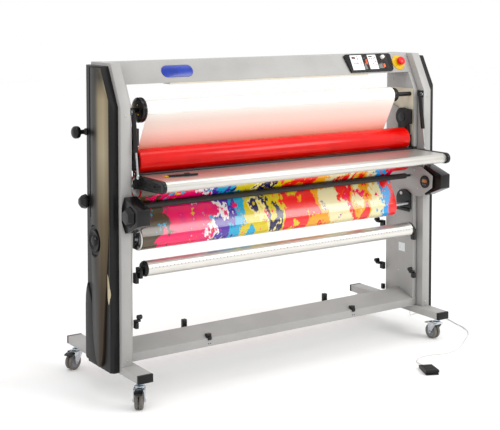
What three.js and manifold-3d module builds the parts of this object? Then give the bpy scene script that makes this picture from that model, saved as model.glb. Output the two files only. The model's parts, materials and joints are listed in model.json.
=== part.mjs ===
// Cold roll laminator on castors: a steel frame, a driven pair of silicone rollers, a film
// supply shaft above them, a print roll and a spare tube below, a feed table and a foot pedal.
// Millimetres. +X to the operator's right, -Y to the operator, +Z up from the floor.

import * as THREE from 'three';
import { mergeVertices } from 'three/addons/utils/BufferGeometryUtils.js';
import Module from 'manifold-3d';

const wasm = await Module();
wasm.setup();

// ---- driving dimensions -------------------------------------------------------------------

const GAP = 0.3;                    // space left between pieces that touch
const ORIGIN_X = 25.35;                 // shift that centres the machine on its origin
const ORIGIN_Y = 46.5;

const FRAME_HALF = 960;             // outer face of each side frame
const POST_WIDTH = 50;
const PLATE_OUTER = 904;            // outer and inner face of each side plate
const PLATE_INNER = 880;
const SHEET = 3;                    // folded steel sheet

const FOOT_TOP = 160;
const FOOT_HEIGHT = 37.5;
const FOOT_HALF_LENGTH = 378;
const FOOT_INNER = 884;
const FOOT_OUTER = 960;

const FRAME_TOP = 1568;
const CHAMFER_Z = 1368;             // where the front edge starts to lean back
const CHAMFER_RUN = 100;
const POST_FRONT = -223;
const POST_LIP = 34;                // front return on the post's open outer side
const POST_REAR = 82;
const PLATE_FRONT = -177;
const PLATE_REAR = 50;
const BEAM_BOTTOM = 1466;

const STRETCHER_EDGE = 41;          // height of the lower beam's vertical edges
const STRETCHER_RIDGE = 83;

const COVER_OUT = 41;               // how far the side covers stand off the posts
const COVER_FRONT = -197;
const COVER_REAR_EDGE = 47;         // where the outer face turns in to the rear
const COVER_BOTTOM = 128;
const COVER_TOP = 1554;
const BARREL_BULGE = 15;

const ROLLER_Y = -136;
const ROLLER_RADIUS = 60;
const ROLLER_HALF = 840;
const TOP_ROLLER_Z = 1100;
const ROLLER_NIP = 0.5;
const JOURNAL_RADIUS = 15;
const LOWER_ROLLER_Z = TOP_ROLLER_Z - 2 * ROLLER_RADIUS - ROLLER_NIP;

const SUPPLY_Y = -145;
const SUPPLY_Z = 1345;
const FILM_RADIUS = 44;
const FILM_LEFT = -804;
const FILM_RIGHT = 731;
const WEB_THICKNESS = 1;

const PRINT_Y = -150;
const PRINT_Z = 735;
const PRINT_RADIUS = 55;
const PRINT_LEFT = -838;
const PRINT_RIGHT = 735;
const IDLER_Y = -155;
const IDLER_Z = 891;
const IDLER_RADIUS = 15;

const TUBE_Y = -200;
const TUBE_Z = 602;
const TUBE_RADIUS = 37.5;

const TABLE_HALF = 856;
const TABLE_FRONT = -462;
const TABLE_REAR = -234;
const TABLE_TOP = 1046;
const TABLE_HEIGHT = 50;
const HINGE_Y = -200;
const HINGE_Z = 1000;

const STRUT_X = 890;
const STRUT_TOP = [-212, 1346];     // Y and Z of the gas strut's two pivots
const STRUT_END = [-256, 1045];

const SWIVEL_X = 924;
const SWIVEL_FRONT = -325;
const SWIVEL_REAR = 342;
const WHEEL_RADIUS = 40;
const TRAIL = 30;
// each castor's place, and the direction that it trails in, degrees from +X
const CASTORS = [
  ['front_left', -SWIVEL_X, SWIVEL_FRONT, 236],
  ['front_right', SWIVEL_X, SWIVEL_FRONT, 90],
  ['rear_left', -SWIVEL_X, SWIVEL_REAR, 203],
  ['rear_right', SWIVEL_X, SWIVEL_REAR, 250],
];

const PEDAL_X = 514;
const PEDAL_Y = -703;
const PEDAL_TURN = -25;
const PEDAL_HALF_LENGTH = 62;

const CORD_RADIUS = 3;
const GLAND_Y = 25;
const GLAND_Z = 190;
const CORD_LIE = CORD_RADIUS + GAP; // height of the cord's centre where it lies on the floor
// foot pedal cord: out of the right cover, down to the floor and round to the pedal
const CORD_ROUTE = [
  [1026.2, 25, 190], [1042, 25.5, 188], [1057, 29, 179], [1068, 36, 160], [1076, 45, 130],
  [1083, 57, 92], [1090, 71, 54], [1100, 85, 22], [1116, 97, 7], [1139, 107, CORD_LIE],
  [1168, 112, CORD_LIE], [1202, 106, CORD_LIE], [1232, 84, CORD_LIE], [1250, 48, CORD_LIE],
  [1257, 0, CORD_LIE], [1252, -48, CORD_LIE], [1241, -92, CORD_LIE], [1216, -180, CORD_LIE],
  [1193, -268, CORD_LIE], [1138, -356, CORD_LIE], [1032, -436, CORD_LIE], [928, -507, CORD_LIE],
  [852, -540, CORD_LIE], [776, -545, CORD_LIE], [706, -524, CORD_LIE], [636, -520, CORD_LIE],
  [584, -543, CORD_LIE], [556, -574, CORD_LIE], [550, -610, 3.8], [540.8, -645.6, 4.6],
];

// ---- materials ----------------------------------------------------------------------------

const paint = (color, roughness, metalness = 0) =>
  new THREE.MeshStandardMaterial({ color, roughness, metalness });
const FINISH = {
  frame: paint(0xb4b4b2, 0.45, 0.2),
  black: paint(0x232121, 0.5),
  bronze: paint(0x6e6252, 0.35, 0.6),
  silicone: paint(0xf01408, 0.3),
  aluminium: paint(0xd2d2ce, 0.3, 0.9),
  steel: paint(0xb8bcc0, 0.35, 0.9),
  film: paint(0xf4f2ee, 0.2),
  print: paint(0xd8b45a, 0.3),
  yellow: paint(0xf2d400, 0.4),
  red: paint(0xe01010, 0.35),
  orange: paint(0xf06a28, 0.4),
  tyre: paint(0x6d6a66, 0.8),
  cord: paint(0xd8d8d8, 0.5),
};

// ---- solid helpers --------------------------------------------------------------------------

const group = new THREE.Group();

// A closed triangle mesh: welded, without slivers, and with its faces pointing out.
function closed(geometry) {
  const bare = geometry.index ? geometry.clone() : geometry;
  for (const name of Object.keys(bare.attributes)) {
    if (name !== 'position') bare.deleteAttribute(name);
  }
  const welded = mergeVertices(bare, 1e-3);
  const point = (i) => new THREE.Vector3().fromBufferAttribute(welded.attributes.position, i);
  const index = [];
  let volume = 0;
  for (let t = 0; t < welded.index.count; t += 3) {
    const [a, b, c] = [0, 1, 2].map((k) => welded.index.getX(t + k));
    if (a === b || b === c || a === c) continue;
    index.push(a, b, c);
    volume += point(a).dot(point(b).cross(point(c)));
  }
  if (volume < 0) index.reverse();
  welded.setIndex(index);
  return welded;
}

function toSolid(geometry) {
  const mesh = closed(geometry);
  const vertProperties = new Float32Array(mesh.attributes.position.array);
  const triVerts = new Uint32Array(mesh.index.array);
  return new wasm.Manifold(new wasm.Mesh({ numProp: 3, vertProperties, triVerts }));
}

function fromSolid(solid) {
  const mesh = solid.getMesh();
  const geometry = new THREE.BufferGeometry();
  geometry.setAttribute('position', new THREE.BufferAttribute(mesh.vertProperties, 3));
  geometry.setIndex(new THREE.BufferAttribute(mesh.triVerts, 1));
  return geometry;
}

const join = (...list) => fromSolid(list.map(toSolid).reduce((a, b) => a.add(b)));
const cut = (body, ...tools) => fromSolid(tools.map(toSolid).reduce((a, b) => a.subtract(b), toSolid(body)));
const overlap = (a, b) => fromSolid(toSolid(a).intersect(toSolid(b)));

function outline(points) {
  return new THREE.Shape(points.map(([a, b]) => new THREE.Vector2(a, b)));
}

// Extrusions along one axis: the outline's two coordinates are the other two axes.
function extrude(shape, depth) {
  return new THREE.ExtrudeGeometry(shape, { depth, bevelEnabled: false, curveSegments: 10 });
}

function alongX(shape, x0, x1) {
  const basis = new THREE.Matrix4().set(0, 0, 1, x0, 1, 0, 0, 0, 0, 1, 0, 0, 0, 0, 0, 1);
  return closed(extrude(shape, x1 - x0).applyMatrix4(basis));
}

function alongY(shape, y0, y1) {
  const basis = new THREE.Matrix4().set(1, 0, 0, 0, 0, 0, -1, y1, 0, 1, 0, 0, 0, 0, 0, 1);
  return closed(extrude(shape, y1 - y0).applyMatrix4(basis));
}

function alongZ(shape, z0, z1) {
  return closed(extrude(shape, z1 - z0).translate(0, 0, z0));
}

// A turned piece: profile of [radius, distance] pairs, turned about X or Z through a point.
function turned(profile, sides = 28) {
  const points = profile.map(([r, d]) => new THREE.Vector2(r, d));
  return new THREE.LatheGeometry(points, sides);
}

function turnedX(profile, y, z, sides) {
  const basis = new THREE.Matrix4().set(0, 1, 0, 0, 0, 0, 1, y, 1, 0, 0, z, 0, 0, 0, 1);
  return closed(turned(profile, sides).applyMatrix4(basis));
}

function turnedZ(profile, x, y, sides) {
  const basis = new THREE.Matrix4().set(1, 0, 0, x, 0, 0, -1, y, 0, 1, 0, 0, 0, 0, 0, 1);
  return closed(turned(profile, sides).applyMatrix4(basis));
}

function mirrorX(geometry) {
  return closed(geometry.clone().scale(-1, 1, 1));
}

function box(x0, x1, y0, y1, z0, z1) {
  const size = new THREE.BoxGeometry(x1 - x0, y1 - y0, z1 - z0);
  return closed(size.translate((x0 + x1) / 2, (y0 + y1) / 2, (z0 + z1) / 2));
}

function disc(y, z, radius) {
  const shape = new THREE.Shape();
  shape.absarc(y, z, radius, 0, 2 * Math.PI);
  return shape;
}

function add(name, geometry, material, parent = group) {
  const mesh = new THREE.Mesh(closed(geometry), material);
  mesh.name = name;
  parent.add(mesh);
  return mesh;
}

// Right-hand piece as modelled, left-hand piece as its mirror image.
function addPair(name, geometry, material) {
  add(`right_${name}`, geometry, material);
  add(`left_${name}`, mirrorX(geometry), material);
}

// ---- frame ----------------------------------------------------------------------------------

function posts() {
  const profile = (inset) => outline([
    [POST_FRONT + inset, FOOT_TOP + GAP + inset],
    [POST_REAR - inset, FOOT_TOP + GAP + inset],
    [POST_REAR - inset, FRAME_TOP - inset],
    [POST_FRONT + CHAMFER_RUN + inset * 0.6, FRAME_TOP - inset],
    [POST_FRONT + inset, CHAMFER_Z - inset * 0.2],
  ]);
  const inner = FRAME_HALF - POST_WIDTH;
  const skin = alongX(profile(0), inner, FRAME_HALF);
  const room = alongX(profile(SHEET), inner + SHEET, FRAME_HALF - SHEET);
  const mouth = box(FRAME_HALF - SHEET - 1, FRAME_HALF + 1, POST_FRONT + POST_LIP, POST_REAR - SHEET,
    FOOT_TOP + POST_LIP, CHAMFER_Z);
  addPair('post', cut(skin, room, mouth), FINISH.frame);
}

const stretcherRise = STRETCHER_RIDGE - STRETCHER_EDGE;
const plateMiddle = (PLATE_FRONT + PLATE_REAR) / 2;
const beamFront = PLATE_FRONT + CHAMFER_RUN * (BEAM_BOTTOM - CHAMFER_Z) / (FRAME_TOP - CHAMFER_Z);

function plates() {
  const base = FOOT_TOP + STRETCHER_EDGE + 2 * GAP;
  const top = BEAM_BOTTOM - GAP;
  const profile = (inset) => outline([
    [PLATE_FRONT + inset, base + inset],
    [plateMiddle, base + stretcherRise + inset],
    [PLATE_REAR - inset, base + inset],
    [PLATE_REAR - inset, top - inset],
    [beamFront + inset, top - inset],
    [PLATE_FRONT + inset, CHAMFER_Z],
  ]);
  const skin = alongX(profile(0), PLATE_INNER, PLATE_OUTER);
  const panel = cut(skin, alongX(profile(SHEET), PLATE_INNER + SHEET, PLATE_OUTER + 1));
  addPair('plate', join(panel, gusset()), FINISH.frame);
}

// Flat gusset on the plate's inner face, which runs forward to carry the housing.
function gusset() {
  const shape = new THREE.Shape();
  shape.moveTo(-30, 948);
  shape.lineTo(-240, 948);
  shape.lineTo(-330, 908);
  shape.lineTo(-326, 842);
  shape.lineTo(-232, 782);
  shape.lineTo(-180, 780);
  shape.lineTo(-172, 640);
  shape.absarc(-172, 780, 140, -Math.PI / 2, 0, false);
  shape.lineTo(-30, 780);
  return alongX(shape, PLATE_INNER - 3, PLATE_INNER + 1);
}

function beams() {
  const section = (inset) => outline([
    [beamFront + inset, BEAM_BOTTOM + inset],
    [PLATE_REAR - inset, BEAM_BOTTOM + inset],
    [PLATE_REAR - inset, FRAME_TOP - inset],
    [PLATE_FRONT + CHAMFER_RUN + inset * 0.6, FRAME_TOP - inset],
  ]);
  const end = PLATE_OUTER + 2;
  const top = alongX(section(0), -end, end);
  add('top_beam', cut(top, alongX(section(SHEET), -end - 1, end + 1)), FINISH.frame);

  const roof = (inset) => outline([
    [PLATE_FRONT + inset, FOOT_TOP + GAP + inset],
    [PLATE_REAR - inset, FOOT_TOP + GAP + inset],
    [PLATE_REAR - inset, FOOT_TOP + STRETCHER_EDGE - inset],
    [plateMiddle, FOOT_TOP + STRETCHER_RIDGE - inset],
    [PLATE_FRONT + inset, FOOT_TOP + STRETCHER_EDGE - inset],
  ]);
  const low = alongX(roof(0), -end, end);
  add('stretcher_beam', cut(low, alongX(roof(SHEET), -end - 1, end + 1)), FINISH.frame);
}

function feet() {
  const section = (inset) => outline([
    [FOOT_INNER + inset, FOOT_TOP - FOOT_HEIGHT + inset],
    [FOOT_OUTER - inset, FOOT_TOP - FOOT_HEIGHT + inset],
    [FOOT_OUTER - inset, FOOT_TOP - inset],
    [FOOT_INNER + inset, FOOT_TOP - inset],
  ]);
  const tube = alongY(section(0), -FOOT_HALF_LENGTH, FOOT_HALF_LENGTH);
  const bore = alongY(section(SHEET), -FOOT_HALF_LENGTH - 1, FOOT_HALF_LENGTH + 1);
  addPair('foot', cut(tube, bore), FINISH.frame);
}

// ---- side covers ------------------------------------------------------------------------------

const coverFace = FRAME_HALF + COVER_OUT;
const TENSION_Y = 50;
const TENSION_UPPER_Z = 1236;
const TENSION_LOWER_Z = 902;
const HAND_WHEEL = [-38, 727];
const HAND_WHEEL_RADIUS = 52;
const HAND_WHEEL_WELL = 78;

function sideOutline(front, lean, inset) {
  return outline([
    [front + inset, COVER_BOTTOM + inset],
    [94 - inset, COVER_BOTTOM + inset],
    [94 - inset, COVER_TOP - inset],
    [front + lean + inset, COVER_TOP - inset],
    [front + inset, CHAMFER_Z],
  ]);
}

// One cover as a shell that is open towards its post.
function cover(front) {
  const plan = (inset) => outline([
    [FRAME_HALF + GAP - (inset ? 2 : 0), front + inset],
    [FRAME_HALF + 28 - inset / 2, front + inset],
    [coverFace - inset, front + 14 + inset / 2],
    [coverFace - inset, COVER_REAR_EDGE - inset / 2],
    [FRAME_HALF + 20 - inset / 2, 94 - inset],
    [FRAME_HALF + GAP - (inset ? 2 : 0), 94 - inset],
  ]);
  const wall = 4;
  const skin = overlap(alongZ(plan(0), COVER_BOTTOM, COVER_TOP),
    alongX(sideOutline(front, 96, 0), FRAME_HALF, coverFace + 1));
  const room = overlap(alongZ(plan(wall), COVER_BOTTOM, COVER_TOP),
    alongX(sideOutline(front, 96, wall), FRAME_HALF - 2, coverFace + 1));
  return cut(skin, room);
}

function covers() {
  add('right_cover', cover(COVER_FRONT - 15), FINISH.black);
  const boss = (z) => alongX(disc(TENSION_Y, z, 16), FRAME_HALF + 24, coverFace);
  const left = join(cover(COVER_FRONT), boss(TENSION_UPPER_Z), boss(TENSION_LOWER_Z));
  add('left_cover', mirrorX(left), FINISH.black);
}

function barrels() {
  const front = -178;
  const rear = 8;
  const plan = new THREE.Shape();
  plan.moveTo(coverFace + GAP, front);
  plan.quadraticCurveTo(coverFace + 2 * BARREL_BULGE, (front + rear) / 2, coverFace + GAP, rear);
  const side = outline([
    [front - 1, COVER_BOTTOM + 6],
    [rear + 1, COVER_BOTTOM + 6],
    [rear + 1, COVER_TOP - 8],
    [-104, COVER_TOP - 8],
    [front - 1, CHAMFER_Z + 32],
  ]);
  const shell = overlap(alongZ(plan, COVER_BOTTOM, COVER_TOP),
    alongX(side, coverFace, coverFace + 2 * BARREL_BULGE));
  add('right_barrel', shell, FINISH.bronze);
  const well = alongX(disc(...HAND_WHEEL, HAND_WHEEL_WELL), coverFace, coverFace + 40);
  add('left_barrel', mirrorX(cut(shell, well)), FINISH.bronze);
}

// Turned knobs on the left cover, listed from the cover outwards.
function sideKnobs() {
  const knob = (name, profile, y, z) => {
    const shape = profile.map(([r, d]) => [r, -(coverFace + d)]);
    add(name, turnedX(shape, y, z, 24), FINISH.black);
  };
  knob('tension_knob_upper', [[0, 0.5], [17, 0.5], [17, 8], [11, 12], [11, 34], [24, 38], [30, 46],
    [30, 62], [22, 72], [0, 75]], TENSION_Y, TENSION_UPPER_Z);
  knob('tension_knob_lower', [[0, 0.5], [30, 0.5], [37, 7], [31, 30], [19, 40], [0, 42]],
    TENSION_Y, TENSION_LOWER_Z);
  knob('hand_wheel', [[0, 0.5], [HAND_WHEEL_RADIUS, 0.5], [HAND_WHEEL_RADIUS, 9], [44, 12],
    [24, 12], [18, 16], [0, 16]], ...HAND_WHEEL);
}

function inlet() {
  const body = box(FRAME_HALF - 40, FRAME_HALF - 10, POST_REAR + GAP, POST_REAR + 8, 250, 300);
  add('power_inlet', body, FINISH.black);
}

// ---- controls on the top beam -----------------------------------------------------------------

// The beam's sloping face: X across, Y up the slope, Z out of it.
function slopeGroup() {
  const slope = new THREE.Group();
  const middle = (BEAM_BOTTOM + FRAME_TOP) / 2;
  slope.position.set(0, beamFront + CHAMFER_RUN * (middle - BEAM_BOTTOM) / (FRAME_TOP - CHAMFER_Z), middle);
  slope.rotation.x = Math.atan2(FRAME_TOP - CHAMFER_Z, CHAMFER_RUN);
  group.add(slope);
  return slope;
}

const BUTTON_X = 709;
const BUTTON_S = -18;
const KNOB_S = 31;
const BEZEL_THICK = 12;

function controls() {
  const slope = slopeGroup();
  const bezel = alongZ(outline([[472, -50], [760, -50], [772, -38], [779, 46], [768, 56], [462, 56],
    [449, 46]]), GAP, BEZEL_THICK);
  const pocket = alongZ(outline([[BUTTON_X - 8, BUTTON_S - 11], [BUTTON_X + 8, BUTTON_S - 11],
    [BUTTON_X + 8, BUTTON_S + 11], [BUTTON_X - 8, BUTTON_S + 11]]), 5, BEZEL_THICK + 1);
  add('control_panel', cut(bezel, pocket), FINISH.black, slope);
  const key = alongZ(outline([[BUTTON_X - 6.5, BUTTON_S - 9.5], [BUTTON_X + 6.5, BUTTON_S - 9.5],
    [BUTTON_X + 6.5, BUTTON_S + 9.5], [BUTTON_X - 6.5, BUTTON_S + 9.5]]), 8, BEZEL_THICK + 5);
  add('start_key', key, FINISH.orange, slope);
  const dial = [[0, BEZEL_THICK + 0.5], [11, BEZEL_THICK + 0.5], [10, BEZEL_THICK + 15], [0, BEZEL_THICK + 16]];
  add('speed_dial', turnedZ(dial, BUTTON_X, KNOB_S, 20), FINISH.steel, slope);

  const stopX = 826;
  const collar = [[14, GAP], [42, GAP], [42, 6], [34, 11], [14, 11], [14, GAP]];
  add('stop_collar', turnedZ(collar, stopX, 0, 32), FINISH.yellow, slope);
  const head = [[0, 8], [12, 8], [12, 19], [23, 19], [23, 34], [18, 39], [0, 41]];
  add('stop_button', turnedZ(head, stopX, 0, 28), FINISH.red, slope);
}

// ---- rollers and film ---------------------------------------------------------------------------

const journalEnd = PLATE_INNER - 2;

function nipRollers() {
  const end = journalEnd - 4;
  const profile = [[0, -end], [JOURNAL_RADIUS, -end], [JOURNAL_RADIUS, -ROLLER_HALF],
    [ROLLER_RADIUS - 4, -ROLLER_HALF], [ROLLER_RADIUS, -ROLLER_HALF + 4],
    [ROLLER_RADIUS, ROLLER_HALF - 4], [ROLLER_RADIUS - 4, ROLLER_HALF], [JOURNAL_RADIUS, ROLLER_HALF],
    [JOURNAL_RADIUS, end], [0, end]];
  add('top_roller', turnedX(profile, ROLLER_Y, TOP_ROLLER_Z, 40), FINISH.silicone);
  add('lower_roller', turnedX(profile, ROLLER_Y, LOWER_ROLLER_Z, 40), FINISH.silicone);
}

// Lifting arm at each end of the top roller: a round head, a stop block and a bearing.
function liftArms() {
  const x0 = ROLLER_HALF + 4;
  const x1 = x0 + 20;
  const neck = alongX(outline([[-172, 1075], [-160, 1062], [-112, 1062], [-96, 1078], [-80, 1208],
    [-156, 1208]]), x0, x1);
  const head = alongX(disc(-117, 1216, 52), x0, x1);
  const block = alongX(outline([[-183, 1182], [-130, 1182], [-130, 1262], [-183, 1262]]), x0, x1);
  const bearing = alongX(disc(ROLLER_Y, TOP_ROLLER_Z, JOURNAL_RADIUS + 1), x0 - 1, x1 + 1);
  addPair('lift_arm', cut(join(neck, head, block), bearing), FINISH.black);
}

function filmSupply() {
  const shaft = [[0, -journalEnd], [12, -journalEnd], [12, -842], [46, -841], [54, -833], [60, -831],
    [60, -808], [56, FILM_LEFT - 1], [19, FILM_LEFT - 1], [19, FILM_RIGHT + 2], [30, FILM_RIGHT + 3],
    [37, FILM_RIGHT + 14], [37, FILM_RIGHT + 32], [26, FILM_RIGHT + 44], [12, FILM_RIGHT + 46],
    [12, journalEnd], [0, journalEnd]];
  add('supply_shaft', turnedX(shaft, SUPPLY_Y, SUPPLY_Z, 32), FINISH.black);
  const roll = [[20, FILM_LEFT], [FILM_RADIUS, FILM_LEFT], [FILM_RADIUS, FILM_RIGHT], [20, FILM_RIGHT],
    [20, FILM_LEFT]];
  add('film_roll', turnedX(roll, SUPPLY_Y, SUPPLY_Z, 40), FINISH.film);
}

// Straight run of sheet between two rolls. Each end is [y, z, radius, side], and side is -1
// where the sheet passes in front of the roll and +1 where it passes behind.
function run([y0, z0, r0, s0], [y1, z1, r1, s1]) {
  const [dy, dz] = [y1 - y0, z1 - z0];
  const length = Math.hypot(dy, dz);
  const heading = Math.atan2(dz, dy);
  const turn = Math.asin((s1 * r1 - s0 * r0) / length);
  const across = dz < 0 ? heading + Math.PI / 2 : heading - Math.PI / 2;
  const angle = dz < 0 ? across + turn : across - turn;
  const normal = [Math.cos(angle), Math.sin(angle)];
  return [
    [y0 + normal[0] * r0 * s0, z0 + normal[1] * r0 * s0],
    [y1 + normal[0] * r1 * s1, z1 + normal[1] * r1 * s1],
  ];
}

function ribbon(points, thickness) {
  const half = thickness / 2;
  const side = (sign) => points.map(([y, z], i) => {
    const before = points[Math.max(i - 1, 0)];
    const after = points[Math.min(i + 1, points.length - 1)];
    const length = Math.hypot(after[0] - before[0], after[1] - before[1]);
    return [y - sign * half * (after[1] - before[1]) / length, z + sign * half * (after[0] - before[0]) / length];
  });
  return outline([...side(1), ...side(-1).reverse()]);
}

function arc(y, z, radius, from, to, steps) {
  return Array.from({ length: steps + 1 }, (_, i) => {
    const angle = from + (to - from) * i / steps;
    return [y + radius * Math.cos(angle), z + radius * Math.sin(angle)];
  });
}

const clearance = 1.5;

function filmWeb() {
  const points = run([SUPPLY_Y, SUPPLY_Z, FILM_RADIUS + clearance, -1],
    [ROLLER_Y, TOP_ROLLER_Z, ROLLER_RADIUS + clearance, 1]);
  add('film_web', alongX(ribbon(points, WEB_THICKNESS), FILM_LEFT, FILM_RIGHT), FINISH.film);
}

function printRoll() {
  const shaft = [[0, -journalEnd + 6], [12, -journalEnd + 6], [12, PRINT_LEFT - 11], [34, PRINT_LEFT - 10],
    [52, PRINT_LEFT - 6], [52, PRINT_LEFT - 1], [25, PRINT_LEFT - 0.5], [25, PRINT_RIGHT + 2],
    [36, PRINT_RIGHT + 3], [36, PRINT_RIGHT + 17], [12, PRINT_RIGHT + 19], [12, journalEnd - 6],
    [0, journalEnd - 6]];
  add('print_shaft', turnedX(shaft, PRINT_Y, PRINT_Z, 28), FINISH.aluminium);
  const roll = [[25.6, PRINT_LEFT], [PRINT_RADIUS, PRINT_LEFT], [PRINT_RADIUS, PRINT_RIGHT],
    [25.6, PRINT_RIGHT], [25.6, PRINT_LEFT]];
  add('print_roll', turnedX(roll, PRINT_Y, PRINT_Z, 40), FINISH.print);
  const idler = [[0, -journalEnd + 6], [7, -journalEnd + 6], [7, -ROLLER_HALF], [IDLER_RADIUS, -ROLLER_HALF],
    [IDLER_RADIUS, ROLLER_HALF], [7, ROLLER_HALF], [7, journalEnd - 6], [0, journalEnd - 6]];
  add('idler_bar', turnedX(idler, IDLER_Y, IDLER_Z, 24), FINISH.black);
}

function printWeb() {
  const roll = [PRINT_Y, PRINT_Z, PRINT_RADIUS + clearance, -1];
  const idler = [IDLER_Y, IDLER_Z, IDLER_RADIUS + clearance, 1];
  const lower = [ROLLER_Y, LOWER_ROLLER_Z, ROLLER_RADIUS + clearance, -1];
  const up = run(roll, idler);
  const over = run(idler, lower);
  const angleAt = ([y, z], [cy, cz]) => Math.atan2(z - cz, y - cy);
  const bend = arc(IDLER_Y, IDLER_Z, IDLER_RADIUS + clearance, angleAt(up[1], idler), angleAt(over[0], idler), 5);
  const wrapStart = angleAt(over[1], lower);
  const start = wrapStart < 0 ? wrapStart + 2 * Math.PI : wrapStart;
  const wrap = arc(ROLLER_Y, LOWER_ROLLER_Z, ROLLER_RADIUS + clearance, start, 0.62 * Math.PI, 10);
  const points = [up[0], ...bend, ...wrap];
  add('print_web', alongX(ribbon(points, WEB_THICKNESS), PRINT_LEFT, PRINT_RIGHT), FINISH.print);
}

// ---- spare tube and its cradles ----------------------------------------------------------------

function frontTube() {
  const tube = [[0, -866], [8, -866], [8, -842], [28, -840], [TUBE_RADIUS - 1, -828], [TUBE_RADIUS, -826],
    [TUBE_RADIUS, 826], [TUBE_RADIUS - 1, 828], [28, 840], [8, 842], [8, 866], [0, 866]];
  add('front_tube', turnedX(tube, TUBE_Y, TUBE_Z, 36), FINISH.aluminium);
}

// ---- feed table ------------------------------------------------------------------------------------

function table() {
  const section = new THREE.Shape();
  const nose = TABLE_HEIGHT / 2;
  section.moveTo(TABLE_REAR, TABLE_TOP);
  section.lineTo(TABLE_FRONT + nose, TABLE_TOP);
  section.absarc(TABLE_FRONT + nose, TABLE_TOP - nose, nose, Math.PI / 2, Math.PI * 1.5, false);
  section.lineTo(TABLE_FRONT + nose + 30, TABLE_TOP - TABLE_HEIGHT);
  section.lineTo(TABLE_FRONT + nose + 30, TABLE_TOP - 12);
  section.lineTo(TABLE_REAR + 20, TABLE_TOP - 12);
  section.lineTo(TABLE_REAR + 20, TABLE_TOP);
  const extrusion = alongX(section, -TABLE_HALF, TABLE_HALF);
  add('feed_table', extrusion, FINISH.aluminium);

  const cap = new THREE.Shape();
  cap.moveTo(-174, 1020);
  cap.lineTo(-232, TABLE_TOP + 2);
  cap.lineTo(TABLE_FRONT + nose - 5, TABLE_TOP + 4);
  cap.absarc(TABLE_FRONT + nose - 5, TABLE_TOP - nose, nose + 4, Math.PI / 2, Math.PI * 1.5, false);
  cap.lineTo(-240, 984);
  cap.lineTo(-180, 978);
  addPair('table_cap', alongX(cap, TABLE_HALF + GAP, PLATE_INNER - 3.5), FINISH.black);
}

function struts() {
  const dy = STRUT_END[0] - STRUT_TOP[0];
  const dz = STRUT_END[1] - STRUT_TOP[1];
  const length = Math.hypot(dy, dz);
  const angle = Math.atan2(dy, -dz);
  const place = (profile) => {
    const piece = closed(turned(profile.map(([r, d]) => [r, -d]), 20));
    piece.rotateX(Math.PI / 2 + angle);
    return piece.translate(STRUT_X, STRUT_TOP[0], STRUT_TOP[1]);
  };
  const cylinder = [[0, -8], [6, -7], [8, 0], [6, 7], [6, 14], [11, 17], [11, 190], [6.2, 190],
    [6.2, 110], [0, 110]];
  const rod = [[0, 150], [5, 150], [5, length - 10], [8, length - 6], [8, length + 6], [0, length + 8]];
  addPair('strut_cylinder', place(cylinder), FINISH.black);
  addPair('strut_rod', place(rod), FINISH.steel);
}

// ---- housings on the front of the frames ---------------------------------------------------------

function housings() {
  const front = POST_FRONT - GAP;
  const shape = outline([[front, 905], [-250, 960], [-381, 918], [-380, 844], [-258, 791], [front, 840]]);
  const knobY = -309;
  const knobZ = 878;
  addPair('housing', alongX(shape, 894, FRAME_HALF), FINISH.black);
  const knob = [[0, FRAME_HALF + 0.5], [50, FRAME_HALF + 0.5], [36, FRAME_HALF + 26], [0, FRAME_HALF + 26]];
  addPair('pressure_knob', turnedX(knob, knobY, knobZ, 6), FINISH.black);
}

// ---- castors ----------------------------------------------------------------------------------------

function castor(name, x, y, heading) {
  const swivel = new THREE.Group();
  swivel.position.set(x, y, 0);
  swivel.rotation.z = THREE.MathUtils.degToRad(heading);
  group.add(swivel);

  // The castor is modelled trailing along +X, with its axle along Y.
  const top = FOOT_TOP - FOOT_HEIGHT - GAP;
  const stem = turnedZ([[0, 88], [20, 88], [24, 93], [24, 100], [12, 104], [12, top], [0, top]], 0, 0, 20);
  const arm = (side) => {
    const y0 = side < 0 ? -27 : 24;
    return alongY(outline([[-20, 92], [44, 92], [TRAIL + 9, WHEEL_RADIUS - 4], [TRAIL + 4, WHEEL_RADIUS - 10],
      [TRAIL - 5, WHEEL_RADIUS - 10], [TRAIL - 10, WHEEL_RADIUS - 4]]), y0, y0 + 3);
  };
  const crown = box(-20, 22, -27, 27, 86, 92);
  add(`castor_fork_${name}`, join(stem, crown, arm(-1), arm(1)), FINISH.steel, swivel);

  const wheel = [[0, -22], [12, -22], [14, -20], [30, -20], [WHEEL_RADIUS - 3, -20], [WHEEL_RADIUS, -16],
    [WHEEL_RADIUS, -6], [WHEEL_RADIUS - 3, -2], [30, -2], [30, 2], [WHEEL_RADIUS - 3, 2],
    [WHEEL_RADIUS, 6], [WHEEL_RADIUS, 16], [WHEEL_RADIUS - 3, 20], [14, 20], [12, 22], [0, 22]];
  const turnedWheel = closed(turned(wheel, 28)).translate(TRAIL, 0, WHEEL_RADIUS);
  add(`castor_wheel_${name}`, turnedWheel, FINISH.tyre, swivel);

  const pedal = outline([[26, 84], [34, 90], [60, 88], [74, 82], [76, 77], [62, 80], [40, 83], [30, 81.5]]);
  add(`castor_brake_${name}`, alongY(pedal, -20, 20), FINISH.black, swivel);
}

// ---- foot pedal and its cord -----------------------------------------------------------------------

function pedal() {
  const base = new THREE.Group();
  base.position.set(PEDAL_X, PEDAL_Y, 0);
  base.rotation.z = THREE.MathUtils.degToRad(PEDAL_TURN);
  group.add(base);
  add('pedal_base', box(-33, 33, 3 - PEDAL_HALF_LENGTH, PEDAL_HALF_LENGTH, 0.2, 8), FINISH.black, base);
  const tread = outline([[-60, 11], [52, 8.6], [60, 10], [60, 16], [-57, 25], [-62, 20]]);
  add('pedal_treadle', alongX(tread, -35, 35), FINISH.black, base);
}

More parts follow.
